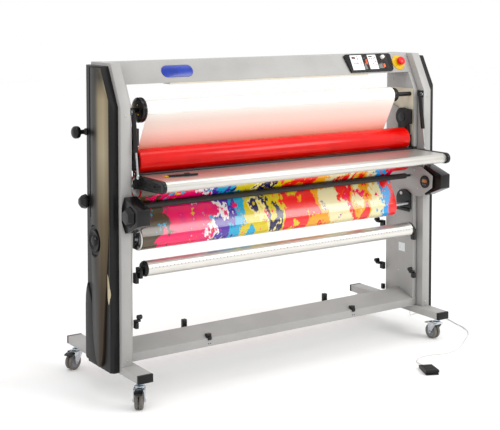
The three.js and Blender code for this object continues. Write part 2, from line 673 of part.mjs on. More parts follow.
function cordExit() {
  const x0 = coverFace + GAP;
  const gland = [[0, x0], [9, x0], [9, x0 + 5], [6.5, x0 + 7], [5, x0 + 24], [0, x0 + 24]];
  add('cord_gland', turnedX(gland, GLAND_Y, GLAND_Z, 16), FINISH.black);

  const route = new THREE.CatmullRomCurve3(CORD_ROUTE.map((point) => new THREE.Vector3(...point)));
  const section = outline(arc(0, 0, CORD_RADIUS, 0, 1.75 * Math.PI, 7));
  const tube = new THREE.ExtrudeGeometry(section, { steps: 80, extrudePath: route });
  add('pedal_cord', tube, FINISH.cord);
}

posts();
plates();
beams();
feet();
covers();
barrels();
sideKnobs();
inlet();
controls();
nipRollers();
liftArms();
filmSupply();
filmWeb();
printRoll();
printWeb();
frontTube();
table();
struts();
housings();
for (const entry of CASTORS) castor(...entry);
pedal();
cordExit();

group.position.set(ORIGIN_X, ORIGIN_Y, 0);
export default group;
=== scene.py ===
"""Looks of a cold roll laminator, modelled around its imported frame.

Pieces are placed in the machine's own millimetres: X from its middle plane to the operator's
right, Y from a line 50 mm in front of the side plates' rear edge, Z up from the floor.
"""

import json
import math

import bpy
from mathutils import Matrix, Vector


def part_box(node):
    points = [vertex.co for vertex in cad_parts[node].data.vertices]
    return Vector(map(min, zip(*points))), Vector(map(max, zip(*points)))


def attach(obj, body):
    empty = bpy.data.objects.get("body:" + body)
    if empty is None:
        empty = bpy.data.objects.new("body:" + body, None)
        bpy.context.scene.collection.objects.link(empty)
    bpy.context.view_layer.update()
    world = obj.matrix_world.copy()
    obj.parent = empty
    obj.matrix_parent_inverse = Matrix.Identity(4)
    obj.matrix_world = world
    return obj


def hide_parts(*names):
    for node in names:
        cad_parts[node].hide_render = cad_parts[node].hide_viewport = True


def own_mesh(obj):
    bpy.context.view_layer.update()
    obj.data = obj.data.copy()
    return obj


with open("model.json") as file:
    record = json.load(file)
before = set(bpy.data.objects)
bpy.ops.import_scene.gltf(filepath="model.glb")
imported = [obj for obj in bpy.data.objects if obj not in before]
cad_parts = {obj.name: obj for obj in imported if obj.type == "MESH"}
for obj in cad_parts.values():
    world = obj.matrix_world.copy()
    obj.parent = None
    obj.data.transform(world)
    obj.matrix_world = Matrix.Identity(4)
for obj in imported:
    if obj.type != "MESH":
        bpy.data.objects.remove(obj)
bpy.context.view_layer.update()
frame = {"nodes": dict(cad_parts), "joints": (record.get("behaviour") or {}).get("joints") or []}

bl_info = {
    "name": "Cold Roll Laminator",
    "version": (1, 0, 0),
    "blender": (4, 5, 0),
    "location": "3D Viewport > Sidebar > Laminator",
    "description": "Builds the visible surfaces of a cold roll laminator around its frame",
    "category": "Add Mesh",
}

MM = 0.001
PLATE_REAR = 50
beam_low, beam_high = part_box("top_beam")
ORIGIN = Vector(((beam_low.x + beam_high.x) / 2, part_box("right_plate")[1].y - PLATE_REAR * MM, 0))


# ---- places ---------------------------------------------------------------------------------


def place(x, y, z):
    """A point in machine millimetres as a point of the shared frame."""
    return ORIGIN + Vector((x, y, z)) * MM


def span(node):
    """Lowest and highest corner of a CAD node in machine millimetres."""
    low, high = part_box(node)
    return (low - ORIGIN) / MM, (high - ORIGIN) / MM


def centre(node):
    low, high = span(node)
    return (low + high) / 2


GUSSET_FACE = span("right_plate")[0].x
PLATE_INNER = GUSSET_FACE + 3
COVER_FACE = span("right_cover")[1].x
BEAM_LOW, BEAM_HIGH = span("top_beam")
TOP_ROLLER = centre("top_roller")
LOWER_ROLLER = centre("lower_roller")
SUPPLY = centre("supply_shaft")
PRINT = centre("print_roll")
IDLER = centre("idler_bar")
TUBE = centre("front_tube")
TABLE_LOW, TABLE_HIGH = span("feed_table")
SIDES = (("left", -1), ("right", 1))
CASTORS = ("front_left", "front_right", "rear_left", "rear_right")


# ---- modelling ------------------------------------------------------------------------------


def deselect():
    bpy.ops.object.select_all(action="DESELECT")


def named(name):
    piece = bpy.context.object
    piece.name = name
    piece.data.name = name
    return piece


def activate(piece):
    deselect()
    piece.select_set(True)
    bpy.context.view_layer.objects.active = piece


def settle(piece):
    """Puts the object back at the origin, unturned and unscaled, with its place in its mesh."""
    activate(piece)
    bpy.ops.object.transform_apply(location=True, rotation=True, scale=True)
    return piece


def modified(piece, kind, **settings):
    """Adds a modifier with its settings and applies it."""
    activate(piece)
    modifier = piece.modifiers.new(kind.lower(), kind)
    for key, value in settings.items():
        setattr(modifier, key, value)
    bpy.ops.object.modifier_apply(modifier=modifier.name)
    return piece


def rounded(piece, width, segments=2, angle=30):
    """Rounds every edge sharper than the angle, width in millimetres."""
    return modified(piece, "BEVEL", width=width * MM, segments=segments, limit_method="ANGLE",
                    angle_limit=math.radians(angle), use_clamp_overlap=True)


def cut(piece, *tools, operation="DIFFERENCE"):
    for tool in tools:
        modified(piece, "BOOLEAN", object=tool, operation=operation, solver="EXACT")
        bpy.data.objects.remove(tool)
    return piece


def moved(piece, matrix):
    """Moves the mesh itself by a matrix in the shared frame."""
    piece.data.transform(matrix)
    return piece


def joined(name, pieces):
    activate(pieces[0])
    for piece in pieces:
        piece.select_set(True)
    bpy.ops.object.join()
    return named(name)


def copied(piece, name):
    twin = piece.copy()
    twin.data = piece.data.copy()
    twin.name = name
    twin.data.name = name
    bpy.context.scene.collection.objects.link(twin)
    return twin


def outwards(piece, weld=1e-5):
    """Welds doubled vertices, clears loose ones and turns all faces outwards."""
    activate(piece)
    bpy.ops.object.mode_set(mode="EDIT")
    bpy.ops.mesh.select_all(action="SELECT")
    bpy.ops.mesh.remove_doubles(threshold=weld)
    bpy.ops.mesh.delete_loose()
    bpy.ops.mesh.select_all(action="SELECT")
    bpy.ops.mesh.normals_make_consistent(inside=False)
    bpy.ops.object.mode_set(mode="OBJECT")
    return piece


def mirrored(piece, name):
    """A mirror image across the machine's middle plane."""
    twin = copied(piece, name)
    flip = Matrix.Translation(ORIGIN) @ Matrix.Scale(-1, 4, (1, 0, 0)) @ Matrix.Translation(-ORIGIN)
    return outwards(moved(twin, flip), 1e-7)


def block(name, low, high, round_off=1.0, segments=2):
    """A box between two corners in machine millimetres, with rounded edges."""
    low, high = Vector(low), Vector(high)
    deselect()
    bpy.ops.mesh.primitive_cube_add(size=1, location=place(*((low + high) / 2)))
    piece = named(name)
    piece.scale = (high - low) * MM
    settle(piece)
    return rounded(piece, round_off, segments)


def arc(a, b, radius, start, end, steps):
    """Points on an arc, angles in degrees."""
    turn = [math.radians(start + (end - start) * i / steps) for i in range(steps + 1)]
    return [(a + radius * math.cos(t), b + radius * math.sin(t)) for t in turn]


def smooth(points, steps=6, closed=True):
    """A smooth line through points, several steps between each two."""
    count = len(points)
    line = []
    for i in range(count if closed else count - 1):
        near = [points[(i + k) % count] if closed else points[min(max(i + k, 0), count - 1)]
                for k in (-1, 0, 1, 2)]
        a, b, c, d = (Vector(p) for p in near)
        for k in range(steps):
            t = k / steps
            line.append(tuple(0.5 * (2 * b + (c - a) * t + (2 * a - 5 * b + 4 * c - d) * t * t
                                     + (3 * b - a - 3 * c + d) * t ** 3)))
    return line if closed else line + [tuple(points[-1])]


def on_axis(axis, along, pair):
    point = list(pair)
    point.insert("XYZ".index(axis), along)
    return point


def prism(name, outline, axis, start, end, round_off=1.0, segments=2):
    """An outline in the two other axes, drawn out along one axis and rounded."""
    deselect()
    bpy.ops.mesh.primitive_circle_add(vertices=len(outline), fill_type="NGON")
    piece = named(name)
    for vertex, corner in zip(piece.data.vertices, outline):
        vertex.co = place(*on_axis(axis, start, corner))
    bpy.ops.object.mode_set(mode="EDIT")
    bpy.ops.mesh.select_all(action="SELECT")
    reach = Vector(on_axis(axis, end - start, (0, 0))) * MM
    bpy.ops.mesh.extrude_region_move(TRANSFORM_OT_translate={"value": reach})
    bpy.ops.mesh.select_all(action="SELECT")
    bpy.ops.mesh.normals_make_consistent(inside=False)
    bpy.ops.object.mode_set(mode="OBJECT")
    return rounded(piece, round_off, segments) if round_off else piece


def lathe(name, profile, axis, middle, steps=96, round_off=0.0, segments=2):
    """A profile of (radius, distance along the axis) pairs, spun round an axis.

    A profile that leaves the axis closes on itself and gives a ring.
    """
    deselect()
    bpy.ops.mesh.primitive_circle_add(vertices=len(profile), fill_type="NOTHING")
    piece = named(name)
    for vertex, (radius, along) in zip(piece.data.vertices, profile):
        if axis == "X":
            vertex.co = place(along, middle[1], middle[2] + radius)
        elif axis == "Y":
            vertex.co = place(middle[0], along, middle[2] + radius)
        else:
            vertex.co = place(middle[0] + radius, middle[1], along)
    bpy.ops.object.mode_set(mode="EDIT")
    bpy.ops.mesh.select_all(action="SELECT")
    spin_axis = on_axis(axis, 1, (0, 0))
    bpy.ops.mesh.spin(steps=steps, angle=math.tau, center=place(*middle), axis=spin_axis)
    bpy.ops.object.mode_set(mode="OBJECT")
    outwards(piece)
    return rounded(piece, round_off, segments) if round_off else piece


def ribbon(name, line, x0, x1, thickness):
    """A thin sheet that follows a line of (y, z) points between two X places."""
    half = thickness / 2
    front, back = [], []
    for i, (y, z) in enumerate(line):
        before, after = line[max(i - 1, 0)], line[min(i + 1, len(line) - 1)]
        along = Vector((after[0] - before[0], after[1] - before[1])).normalized()
        front.append((y - half * along.y, z + half * along.x))
        back.append((y + half * along.y, z - half * along.x))
    return prism(name, front + back[::-1], "X", x0, x1, 0)


def wire(name, points, radius, steps=8):
    """A round bar that follows a line of points."""
    data = bpy.data.curves.new(name, "CURVE")
    data.dimensions = "3D"
    data.bevel_depth = radius * MM
    data.bevel_resolution = 4
    data.use_fill_caps = True
    data.resolution_u = steps
    spline = data.splines.new("BEZIER")
    spline.bezier_points.add(len(points) - 1)
    for knot, point in zip(spline.bezier_points, points):
        knot.co = place(*point)
        knot.handle_left_type = knot.handle_right_type = "AUTO"
    piece = bpy.data.objects.new(name, data)
    bpy.context.scene.collection.objects.link(piece)
    return piece


def refined(node, width=1.2, segments=2, name=None):
    """A welded copy of a CAD node with rounded edges."""
    name = name or f"{node}_surface"
    source = frame["nodes"][node]
    piece = bpy.data.objects.new(name, source.data.copy())
    piece.data.name = name
    bpy.context.scene.collection.objects.link(piece)
    activate(piece)
    bpy.ops.mesh.customdata_custom_splitnormals_clear()
    bpy.ops.object.mode_set(mode="EDIT")
    bpy.ops.mesh.select_all(action="SELECT")
    bpy.ops.mesh.remove_doubles(threshold=1e-5)
    bpy.ops.mesh.dissolve_limited(angle_limit=math.radians(1))
    bpy.ops.object.mode_set(mode="OBJECT")
    return rounded(piece, width, segments) if width else piece


def softened(name, width, finish):
    """A CAD node that stays as it is, with welded, rounded edges and a better material."""
    piece = frame["nodes"][name]
    piece.modifiers.new("weld", "WELD").merge_threshold = 1e-5
    bevel = piece.modifiers.new("bevel", "BEVEL")
    bevel.width = width * MM
    bevel.segments = 3
    bevel.limit_method = "ANGLE"
    bevel.harden_normals = True
    piece.data.materials.clear()
    piece.data.materials.append(MATERIALS[finish])
    return piece


def bolt(name, x, y, z, axis, sign, radius=4.0, height=2.5):
    """A socket-head screw whose head stands out of a face by its height."""
    rim = [(0, 0), (radius, 0), (radius, height * 0.7), (radius * 0.8, height), (radius * 0.45, height),
           (radius * 0.4, height * 0.5), (0, height * 0.5)]
    along = (x, y, z)["XYZ".index(axis)]
    profile = [(r, along + sign * d) for r, d in rim]
    return lathe(name, profile, axis, (x, y, z), steps=16)


def dressed(piece, finish, body="frame", replaces=(), angle=35):
    """Gives a finished piece its material, shading and body, and hides the nodes it stands for."""
    if piece.type == "MESH":
        activate(piece)
        bpy.ops.object.shade_smooth_by_angle(angle=math.radians(angle))
    piece.data.materials.clear()
    piece.data.materials.append(MATERIALS[finish])
    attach(piece, body)
    if replaces:
        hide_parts(*replaces)
    return piece


# The beam's sloping face: modelled flat as X, distance up the slope and height off it.
SLOPE_RISE, SLOPE_RUN = 200, 100
SLOPE_ANGLE = math.atan2(SLOPE_RISE, SLOPE_RUN)
SLOPE_MIDDLE = (BEAM_LOW.z + BEAM_HIGH.z) / 2
SLOPE_Y = BEAM_LOW.y + (SLOPE_MIDDLE - BEAM_LOW.z) * SLOPE_RUN / SLOPE_RISE


def on_slope(piece):
    """Moves a piece that was modelled flat on the floor up to the beam's sloping face."""
    there = Matrix.Translation(place(0, SLOPE_Y, SLOPE_MIDDLE))
    turn = Matrix.Rotation(SLOPE_ANGLE, 4, "X")
    return moved(piece, there @ turn @ Matrix.Translation(-ORIGIN))


# ---- materials ------------------------------------------------------------------------------

MATERIALS = {}


def linear(code):
    """sRGB hex to a linear colour."""
    channels = [int(code[i:i + 2], 16) / 255 for i in (0, 2, 4)]
    return tuple(c / 12.92 if c <= 0.04045 else ((c + 0.055) / 1.055) ** 2.4 for c in channels) + (1,)


def node(tree, kind, links=None, **settings):
    """Adds one node, sets its properties and inputs, and links its inputs."""
    made = tree.nodes.new(kind)
    for key, value in settings.items():
        if hasattr(made, key):
            setattr(made, key, value)
        else:
            made.inputs[key.replace("_", " ")].default_value = value
    for key, source in (links or {}).items():
        tree.links.new(source, made.inputs[key])
    return made


def ramp(tree, factor, stops, interpolation="LINEAR"):
    made = node(tree, "ShaderNodeValToRGB", {"Fac": factor})
    made.color_ramp.interpolation = interpolation
    while len(made.color_ramp.elements) < len(stops):
        made.color_ramp.elements.new(0.5)
    for element, (position, colour) in zip(made.color_ramp.elements, stops):
        element.position = position
        element.color = linear(colour) if isinstance(colour, str) else (colour,) * 3 + (1,)
    return made.outputs["Color"]


def new_material(name, slot, **shader):
    """A material with one Principled shader, its constant values on its own sockets."""
    material = bpy.data.materials.new(name)
    material.use_nodes = True
    principled = material.node_tree.nodes["Principled BSDF"]
    for key, value in shader.items():
        principled.inputs[key.replace("_", " ")].default_value = value
    MATERIALS[name] = material
    return material.node_tree, principled


def grain(tree, principled, size_mm, strength, stretch=(1, 1, 1), detail=2.0):
    """Fine relief of a real grain size, on Object coordinates."""
    where = node(tree, "ShaderNodeTexCoord").outputs["Object"]
    spread = node(tree, "ShaderNodeMapping", {"Vector": where}, Scale=stretch).outputs["Vector"]
    noise = node(tree, "ShaderNodeTexNoise", {"Vector": spread}, Scale=1 / (size_mm * MM), Detail=detail)
    bump = node(tree, "ShaderNodeBump", {"Height": noise.outputs["Fac"]}, Strength=strength,
                Distance=0.3 * MM)
    tree.links.new(bump.outputs["Normal"], principled.inputs["Normal"])
    return spread, noise.outputs["Fac"]


def mottled(tree, principled, dark, light, size_mm, low=0.35, high=0.65):
    """Slow colour change between two near tones over a given distance."""
    where = node(tree, "ShaderNodeTexCoord").outputs["Object"]
    noise = node(tree, "ShaderNodeTexNoise", {"Vector": where}, Scale=1 / (size_mm * MM), Detail=3.0)
    colour = ramp(tree, noise.outputs["Fac"], [(low, dark), (high, light)])
    tree.links.new(colour, principled.inputs["Base Color"])
    rough = node(tree, "ShaderNodeMapRange", {"Value": noise.outputs["Fac"]},
                 To_Min=principled.inputs["Roughness"].default_value - 0.04,
                 To_Max=principled.inputs["Roughness"].default_value + 0.05)
    tree.links.new(rough.outputs["Result"], principled.inputs["Roughness"])


def satin_powder_coat():
    # Polyester powder on folded steel: even grey, faint orange peel, soft highlights.
    tree, shader = new_material("satin_powder_coat", "frame_paint", Roughness=0.42, IOR=1.5)
    mottled(tree, shader, "A09F9D", "A8A7A5", 180)
    grain(tree, shader, 2.5, 0.12)


def moulded_black_abs():
    # Spark-eroded mould texture: near black, satin, catching broad soft highlights.
    tree, shader = new_material("moulded_black_abs", "black_plastic", Roughness=0.45, IOR=1.53,
                                Specular_IOR_Level=0.22)
    mottled(tree, shader, "121112", "1A1818", 90)
    grain(tree, shader, 1.6, 0.25)


def gloss_black_abs():
    # Polished mould: black with clear reflections, for the knobs and the table's caps.
    tree, shader = new_material("gloss_black_abs", "black_plastic", Roughness=0.24, IOR=1.53,
                                Specular_IOR_Level=0.3)
    mottled(tree, shader, "0D0C0C", "141213", 60)
    grain(tree, shader, 3.0, 0.05)


def bronze_lacquer():
    # Metal-flake lacquer: warm bronze at the crown, falling to pewter black at the rear edge, with painted
    # reflection and shade across the barrel and a painted highlight band up its height.
    tree, shader = new_material("bronze_lacquer", "bronze_plastic", Roughness=0.42, IOR=1.5,
                                Metallic=0.3, Specular_IOR_Level=0.25)
    where = node(tree, "ShaderNodeTexCoord").outputs["Object"]
    axes = node(tree, "ShaderNodeSeparateXYZ", {"Vector": where})
    low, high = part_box("left_barrel")
    across = node(tree, "ShaderNodeMapRange", {"Value": axes.outputs["Y"]}, From_Min=high.y,
                  From_Max=low.y).outputs["Result"]
    up = node(tree, "ShaderNodeMapRange", {"Value": axes.outputs["Z"]}, From_Min=low.z,
              From_Max=high.z).outputs["Result"]
    # Bronze colour with painted reflection across the barrel: dark at the rear edge, a painted bluish
    # highlight, then brighter towards the front.
    bronze_and_painted_reflection = ramp(tree, across, [(0.0, "0E0D0E"), (0.1, "26272B"), (0.28, "1A1817"), (0.45, "4A4338"),
                               (0.62, "9A8F77"), (0.82, "A89C82"), (1.0, "8C8069")])
    # Painted highlight band up the barrel: painted shade darkens it towards the bottom and the top.
    painted_highlight_band = ramp(tree, up, [(0.0, "5E5650"), (0.25, "6A6158"), (0.5, "A59C90"), (0.72, "FFFFFF"),
                           (0.9, "F4F0EA"), (0.97, "7A7A7E")])
    mix = node(tree, "ShaderNodeMix", data_type="RGBA", blend_type="MULTIPLY")
    mix.inputs[0].default_value = 1
    tree.links.new(bronze_and_painted_reflection, mix.inputs[6])
    tree.links.new(painted_highlight_band, mix.inputs[7])
    flakes = node(tree, "ShaderNodeTexVoronoi", {"Vector": where}, Scale=1 / (1.5 * MM))
    sparkle = ramp(tree, flakes.outputs["Color"], [(0.0, 0.88), (1.0, 1.0)])
    lit = node(tree, "ShaderNodeMix", data_type="RGBA", blend_type="MULTIPLY")
    lit.inputs[0].default_value = 1
    tree.links.new(mix.outputs[2], lit.inputs[6])
    tree.links.new(sparkle, lit.inputs[7])
    tree.links.new(lit.outputs[2], shader.inputs["Base Color"])


def champagne_lacquer():
    # The pale trim insert: the same flake lacquer over a light ground.
    tree, shader = new_material("champagne_lacquer", "bronze_plastic", Roughness=0.34, Metallic=0.35)
    mottled(tree, shader, "B3A789", "CBBF9F", 40)


def red_silicone():
    # Ground and polished silicone rubber: saturated red, a soft sheen under a clear skin.
    tree, shader = new_material("red_silicone", "silicone", Roughness=0.22, IOR=1.43,
                                Specular_IOR_Level=0.4)
    mottled(tree, shader, "D40400", "E00800", 120)
    grain(tree, shader, 1.2, 0.04)


def anodised_aluminium():
    # Extruded along its length, then satin anodised: fine lines along X, cream-grey sheen.
    tree, shader = new_material("anodised_aluminium", "aluminium", Roughness=0.34, Metallic=0.85)
    lines = grain(tree, shader, 1.2, 0.12, stretch=(0.01, 1, 1), detail=4.0)[1]
    colour = ramp(tree, lines, [(0.3, "C6C4BE"), (0.7, "DCDAD4")])
    tree.links.new(colour, shader.inputs["Base Color"])


def scaled_tube():
    # The same aluminium with a fine printed scale, a mark each 10 mm along one line.
    tree, shader = new_material("scaled_aluminium", "aluminium", Roughness=0.33, Metallic=0.85)
    lines = grain(tree, shader, 1.2, 0.1, stretch=(0.01, 1, 1), detail=4.0)[1]
    metal = ramp(tree, lines, [(0.3, "CFCDC7"), (0.7, "E8E6E0")])
    where = node(tree, "ShaderNodeTexCoord").outputs["Object"]
    axes = node(tree, "ShaderNodeSeparateXYZ", {"Vector": where})
    pitch = node(tree, "ShaderNodeMath", {0: axes.outputs["X"]}, operation="MODULO")
    pitch.inputs[1].default_value = 20 * MM
    size = node(tree, "ShaderNodeMath", {0: pitch.outputs[0]}, operation="ABSOLUTE")
    mark = node(tree, "ShaderNodeMath", {0: size.outputs[0]}, operation="LESS_THAN")
    mark.inputs[1].default_value = 3.5 * MM
    line = place(0, TUBE.y - 30, TUBE.z + 8)
    reach = node(tree, "ShaderNodeMath", {0: axes.outputs["Z"]}, operation="COMPARE")
    reach.inputs[1].default_value = line.z
    reach.inputs[2].default_value = 2.5 * MM
    front = node(tree, "ShaderNodeMath", {0: axes.outputs["Y"]}, operation="LESS_THAN")
    front.inputs[1].default_value = line.y + 20 * MM
    both = node(tree, "ShaderNodeMath", {0: mark.outputs[0], 1: reach.outputs[0]}, operation="MULTIPLY")
    seen = node(tree, "ShaderNodeMath", {0: both.outputs[0], 1: front.outputs[0]}, operation="MULTIPLY")
    mix = node(tree, "ShaderNodeMix", data_type="RGBA")
    tree.links.new(seen.outputs[0], mix.inputs[0])
    tree.links.new(metal, mix.inputs[6])
    mix.inputs[7].default_value = linear("8C8A86")
    tree.links.new(mix.outputs[2], shader.inputs["Base Color"])


def zinc_plate():
    # Bright zinc on pressed steel: cool grey metal with a slightly clouded gloss.
    tree, shader = new_material("zinc_plate", "zinc", Roughness=0.26, Metallic=1.0)
    mottled(tree, shader, "B9BEC4", "D6DADF", 14)


def turned_steel():
    # Turned journals and bolts: fine machining rings, neutral grey metal.
    tree, shader = new_material("turned_steel", "zinc", Roughness=0.3, Metallic=1.0)
    mottled(tree, shader, "A3A5A8", "C2C4C6", 9)


def laminating_film():
    # Clear film on its liner, under tension: milky and glossy, with a painted reflection of the red roller that
    # warms it towards the bottom.
    tree, shader = new_material("laminating_film", "film", Roughness=0.3, IOR=1.49, Alpha=0.97,
                                Specular_IOR_Level=0.35)
    where = node(tree, "ShaderNodeTexCoord").outputs["Object"]
    low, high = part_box("film_web")
    height = node(tree, "ShaderNodeSeparateXYZ", {"Vector": where}).outputs["Z"]
    up = node(tree, "ShaderNodeMapRange", {"Value": height}, From_Min=low.z, From_Max=high.z)
    # Painted reflection of the red roller: white at the top of the web, warming to orange at the bottom.
    colour = ramp(tree, up.outputs["Result"], [(0.0, "FFC890"), (0.1, "FFC8A4"), (0.3, "FFD2C2"),
                                               (0.55, "FFE2D6"), (0.8, "F6E6DC"), (1.0, "FAF6F0")])
    tree.links.new(colour, shader.inputs["Base Color"])
    ripple = node(tree, "ShaderNodeMapping", {"Vector": where}, Scale=(1, 1, 0.12))
    noise = node(tree, "ShaderNodeTexNoise", {"Vector": ripple.outputs["Vector"]}, Scale=1 / (90 * MM))
    bump = node(tree, "ShaderNodeBump", {"Height": noise.outputs["Fac"]}, Strength=0.2, Distance=4 * MM)
    tree.links.new(bump.outputs["Normal"], shader.inputs["Normal"])


def wound_film():
    # The film on its roll: many clear turns, so milky white with a sharp gloss.
    tree, shader = new_material("wound_film", "film", Roughness=0.12, Coat_Weight=0.5,
                                Coat_Roughness=0.05)
    lines = grain(tree, shader, 6, 0.06, stretch=(0.05, 1, 1))[1]
    colour = ramp(tree, lines, [(0.3, "EDE9E2"), (0.7, "FFFDF8")])
    tree.links.new(colour, shader.inputs["Base Color"])


PAINT_BANDS = (
    (0.0, "4A3C24"), (0.07, "F0005E"), (0.2, "E4006C"), (0.235, "EFEAE6"), (0.26, "4A22A0"),
    (0.3, "00A6D0"), (0.375, "D9C400"), (0.43, "EFE08C"), (0.46, "17104E"), (0.5, "D9C400"),
    (0.535, "F20D0D"), (0.63, "F4A300"), (0.7, "E9DFAE"), (0.79, "F20D0D"), (0.84, "EFA510"),
    (0.875, "E9DFAE"), (0.92, "0A9BE0"), (0.965, "F01010"),
)
PAINT_SPLASHES = ((0.0, "1B1464"), (0.3, "00A6D0"), (0.42, "F0005E"), (0.55, "D9C400"), (0.7, "4A22A0"),
                  (0.85, "F20D0D"))


def printed_vinyl():
    # Solvent print on gloss vinyl: flat bright inks in broad torn bands with smaller splashes.
    tree, shader = new_material("printed_vinyl", "print", Roughness=0.16, IOR=1.49, Coat_Weight=0.5,
                                Coat_Roughness=0.05)
    where = node(tree, "ShaderNodeTexCoord").outputs["Object"]
    low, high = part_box("print_roll")
    axes = node(tree, "ShaderNodeSeparateXYZ", {"Vector": where})
    stretch = node(tree, "ShaderNodeMapping", {"Vector": where}, Scale=(1.7, 1, 1)).outputs["Vector"]
    broad = node(tree, "ShaderNodeTexNoise", {"Vector": stretch}, Scale=1 / (150 * MM), Detail=9.0,
                 Roughness=0.62).outputs["Fac"]
    push = node(tree, "ShaderNodeMapRange", {"Value": broad}, To_Min=-0.34, To_Max=0.34).outputs["Result"]
    shifted = node(tree, "ShaderNodeMath", {0: axes.outputs["X"], 1: push}, operation="ADD").outputs[0]
    across = node(tree, "ShaderNodeMapRange", {"Value": shifted}, From_Min=low.x, From_Max=high.x)
    bands = ramp(tree, across.outputs["Result"], PAINT_BANDS, "CONSTANT")
    torn = node(tree, "ShaderNodeTexNoise", {"Vector": where}, Scale=1 / (75 * MM), Detail=8.0,
                Roughness=0.7).outputs["Fac"]
    mask = node(tree, "ShaderNodeMath", {0: torn}, operation="GREATER_THAN")
    mask.inputs[1].default_value = 0.6
    cells = node(tree, "ShaderNodeTexVoronoi", {"Vector": stretch}, Scale=1 / (210 * MM)).outputs["Color"]
    inks = ramp(tree, cells, PAINT_SPLASHES, "CONSTANT")
    mix = node(tree, "ShaderNodeMix", data_type="RGBA")
    tree.links.new(mask.outputs[0], mix.inputs[0])
    tree.links.new(bands, mix.inputs[6])
    tree.links.new(inks, mix.inputs[7])
    tree.links.new(mix.outputs[2], shader.inputs["Base Color"])


def plain_finishes():
    # Small moulded, printed and rubber parts: each has its own colour and a fine grain.
    for name, slot, dark, light, rough, size in (
        ("yellow_enamel", "yellow", "D8AC00", "E8BE00", 0.35, 30),
        ("red_button_plastic", "red", "D80000", "E60404", 0.28, 30),
        ("orange_key_plastic", "orange", "F25C22", "FA6E30", 0.4, 12),
        ("grey_tyre_rubber", "tyre", "5E5A55", "6E6964", 0.7, 20),
        ("black_tube_rubber", "black_plastic", "1A1818", "262322", 0.55, 30),
        ("pale_grey_pvc", "cord", "D4D3D1", "DDDCDA", 0.45, 40),
        ("white_membrane", "aluminium", "DCE2E3", "E6EBEC", 0.42, 40),
        ("blue_badge_enamel", "black_plastic", "002A8C", "0030A0", 0.25, 60),
        ("blue_anodised_ring", "zinc", "2F9BD0", "48B4E4", 0.35, 15),
        ("white_nylon", "aluminium", "E4E2DE", "F2F0EC", 0.45, 25),
        ("cream_enamel", "frame_paint", "C9C0AA", "D4CCB8", 0.5, 90),
        ("dark_glass_window", "black_plastic", "151012", "201818", 0.1, 20),
        ("amber_window", "orange", "A26A32", "B87A3C", 0.3, 15),
        ("display_red", "red", "E01818", "F02A20", 0.4, 5),
        ("display_green", "frame_paint", "4E8A2C", "5C9A34", 0.4, 5),
        ("key_grey", "frame_paint", "6A6C70", "7C7E82", 0.5, 6),
        ("brass_blade", "zinc", "D8A400", "ECC020", 0.3, 8),
    ):
        tree, shader = new_material(name, slot, Roughness=rough)
        mottled(tree, shader, dark, light, size)
        grain(tree, shader, 1.4, 0.08)


def make_materials():
    satin_powder_coat()
    moulded_black_abs()
    gloss_black_abs()
    bronze_lacquer()
    champagne_lacquer()
    red_silicone()
    anodised_aluminium()
    scaled_tube()
    zinc_plate()
    turned_steel()
    laminating_film()
    wound_film()
    printed_vinyl()
    plain_finishes()


# ---- settings -------------------------------------------------------------------------------


class LaminatorSettings(bpy.types.PropertyGroup):
    """Sizes and colours of the visible model."""

    edge_round: bpy.props.FloatProperty(
        name="Sheet edge rounding", description="Radius on the folded steel edges, in millimetres",
        default=1.1, min=0.2, max=1.4)
    cover_round: bpy.props.FloatProperty(
        name="Cover rounding", description="Radius on the side covers' edges, in millimetres",
        default=1.8, min=0.5, max=1.9)
    cord_radius: bpy.props.FloatProperty(
        name="Cord radius", description="Half the pedal cord's diameter, in millimetres",
        default=3.0, min=2.0, max=3.2)
    floor_colour: bpy.props.FloatVectorProperty(
        name="Floor", description="Colour of the studio floor", subtype="COLOR", size=4,
        default=linear("FFFFFF"), min=0, max=1)
    window_colour: bpy.props.FloatVectorProperty(
        name="Studio light", description="Colour of the soft studio light", subtype="COLOR",
        default=(1.0, 0.985, 0.96), min=0, max=1)


def settings():
    return bpy.context.scene.laminator


# ---- stage and cord -------------------------------------------------------------------------

VIEW_AZIMUTH = math.radians(-34)
VIEW_PITCH = math.radians(3.14)
EYE = (-3327.4, -4791.7, 1850.3)
LENS_MM = 80.68
LENS_DROP = -0.302


